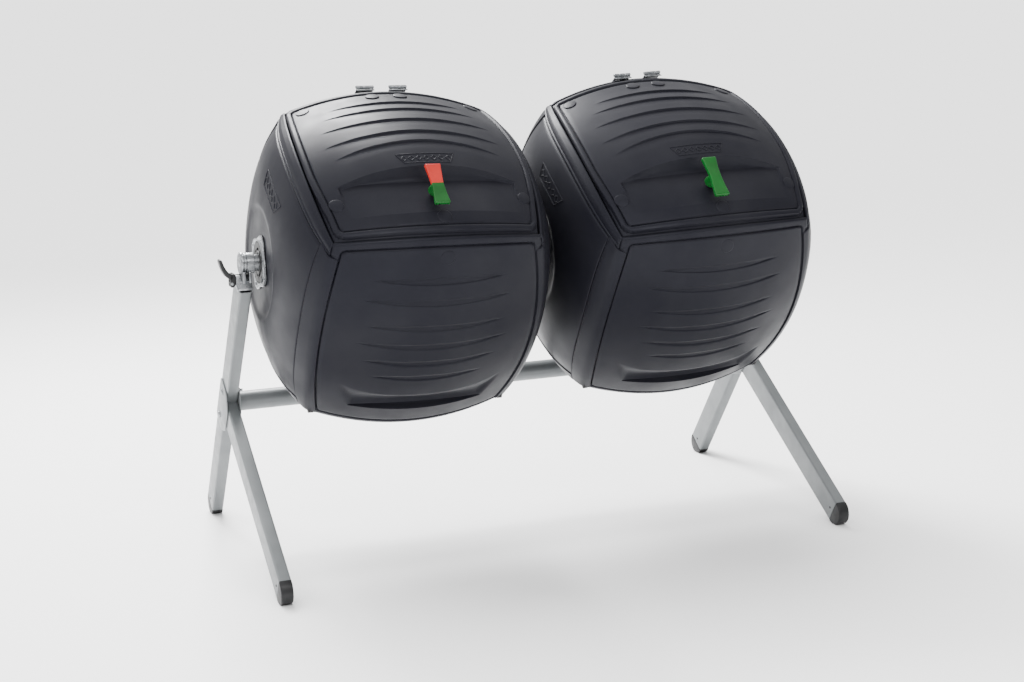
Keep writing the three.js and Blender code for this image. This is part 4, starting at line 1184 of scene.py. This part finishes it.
third = HINGE_WIDTH / 6
outer_spans = [(-HINGE_WIDTH / 2, -third - 0.3), (third + 0.3, HINGE_WIDTH / 2)]
for name in SIDES:
    for k in "ab":
        x = middle_in_drum(name, f"{name}_hinge_leaf_{k}")
        pivot = DRUMS[name] @ Matrix.Translation((x, HINGE_AT, HINGE_AT))
        on_lid = pivot @ Matrix.Rotation(-EDGE_SLOPE, 4, "X")
        on_rear = pivot @ Matrix.Rotation(math.radians(-90) + EDGE_SLOPE, 4, "X") @ Matrix.Diagonal((1, -1, 1, 1))
        place_solid(f"{name}_hinge_lid_leaf_{k}", hinge_leaf([(-third, third)], 14, False), on_lid, ZINC, f"{name}_lid",
                    "zinc", f"{name}_hinge_leaf_{k}")
        place_solid(f"{name}_hinge_rear_leaf_{k}", hinge_leaf(outer_spans, 25, True), on_rear, ZINC, f"{name}_drum",
                    "zinc", f"{name}_hinge_base_{k}")

# ---- clips at the lower corners, where the panels are pinned together ----
def corner_clip():
    """A short angle clip over a corner, in a side panel's frame, at u = 1 and v = -1."""
    parts = []
    base = side_surface(np.array(0.955), np.array(-0.975))
    block = round_corners([(-5, -9), (7, -9), (7, 2.5), (-5, 2.5)], 2)
    parts.append(shifted(rounded_prism(block, -7, 7, 1.5), *base))
    return join_parts(parts)


for name in SIDES:
    for panel in ("front_panel", "rear_lower_panel"):
        clips = join_parts([corner_clip(), moved(corner_clip(), Matrix.Diagonal((-1, 1, 1, 1)))])
        add_object(f"{name}_{panel}_clips", *clips, side_matrix(name, panel), BLACK, f"{name}_drum", "black_plastic")

# ---- carried-over CAD nodes ----
MATERIAL_OF_SLOT = {"drum_plastic": DRUM, "black_plastic": BLACK, "frame_paint": PAINT, "zinc": ZINC,
                    "handle_plastic": GREEN}
for row in frame["record"]["subparts"]:
    node = frame["nodes"].get(row["node"])
    if node is None:
        continue
    node.data.materials.clear()
    node.data.materials.append(MATERIAL_OF_SLOT[row["material_slot"]])
    if not node.hide_render:
        soften = node.modifiers.new("soft_edges", "BEVEL")
        soften.width = 0.0007
        soften.segments = 2
        soften.limit_method = "ANGLE"
        soften.angle_limit = math.radians(40)

# ---- camera, floor and light ----
CAMERA_PLACE = (-1.5954, -4.2140, 1.4018)
CAMERA_TURN = (20.4443, 11.4972, -1.3561)  # degrees: towards +X, down, and roll
LENS = 62.83


def make_camera():
    azimuth, pitch, roll = (math.radians(x) for x in CAMERA_TURN)
    forward = Vector((math.sin(azimuth) * math.cos(pitch), math.cos(azimuth) * math.cos(pitch), -math.sin(pitch)))
    right = Vector((math.cos(azimuth), -math.sin(azimuth), 0))
    up = right.cross(forward)
    x = right * math.cos(roll) + up * math.sin(roll)
    y = up * math.cos(roll) - right * math.sin(roll)
    data = bpy.data.cameras.new("camera")
    data.lens = LENS
    data.sensor_width = 36
    camera = bpy.data.objects.new("camera", data)
    camera.matrix_world = Matrix.Translation(CAMERA_PLACE) @ Matrix((x, y, -forward)).transposed().to_4x4()
    bpy.context.scene.collection.objects.link(camera)
    bpy.context.scene.camera = camera


def make_floor():
    mesh = bpy.data.meshes.new("floor")
    reach = 400
    mesh.from_pydata([(-reach, -reach, 0), (reach, -reach, 0), (reach, reach, 0), (-reach, reach, 0)], [], [(0, 1, 2, 3)])
    m, tree, shader = new_material("floor_white", (0.92, 0.92, 0.92), 1.0)
    shader.inputs["Specular IOR Level"].default_value = 0
    mesh.materials.append(m)
    floor = bpy.data.objects.new("floor", mesh)
    floor.location.z = -0.0005
    bpy.context.scene.collection.objects.link(floor)
    floor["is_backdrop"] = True


def area_light(name, place, aim, size, power):
    data = bpy.data.lights.new(name, "AREA")
    data.shape = "RECTANGLE"
    data.size, data.size_y = size
    data.energy = power
    light = bpy.data.objects.new(name, data)
    light.location = place
    light.rotation_mode = "QUATERNION"
    light.rotation_quaternion = (Vector(aim) - Vector(place)).to_track_quat("-Z", "Y")
    bpy.context.scene.collection.objects.link(light)


make_camera()
make_floor()
area_light("back", (-0.5, 2.3, 3.1), (-0.4, 0, 1.0), (1.5, 1.2), 320)
area_light("overhead", (0.6, 0.5, 3.7), (0, 0, 0.8), (3.0, 2.4), 8)
area_light("front_top", (-0.8, -3.4, 3.4), (0, 0, 0.8), (3.4, 1.0), 130)
sun = bpy.data.lights.new("sky_glow", "SUN")
sun.energy = 6.0
sun.angle = math.radians(60)
glow = bpy.data.objects.new("sky_glow", sun)
glow.rotation_mode = "QUATERNION"
glow.visible_glossy = False
glow.rotation_quaternion = Vector((0.2, -0.55, -0.78)).to_track_quat("-Z", "Y")
bpy.context.scene.collection.objects.link(glow)


def make_world():
    """A studio that is brighter overhead and behind than in front."""
    world = bpy.data.worlds.new("studio")
    world.use_nodes = True
    tree = world.node_tree
    where = tree.nodes.new("ShaderNodeTexCoord")
    lean = tree.nodes.new("ShaderNodeVectorMath")
    lean.operation = "DOT_PRODUCT"
    lean.inputs[1].default_value = (-0.35, 0.45, 0.82)
    tree.links.new(where.outputs["Generated"], lean.inputs[0])
    strength = ramp(tree, lean.outputs["Value"], -0.3, 1.0, 0.45, 1.6)
    tree.nodes["Background"].inputs["Color"].default_value = (1, 1, 1, 1)
    tree.links.new(strength, tree.nodes["Background"].inputs["Strength"])
    bpy.context.scene.world = world


make_world()

low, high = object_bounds()
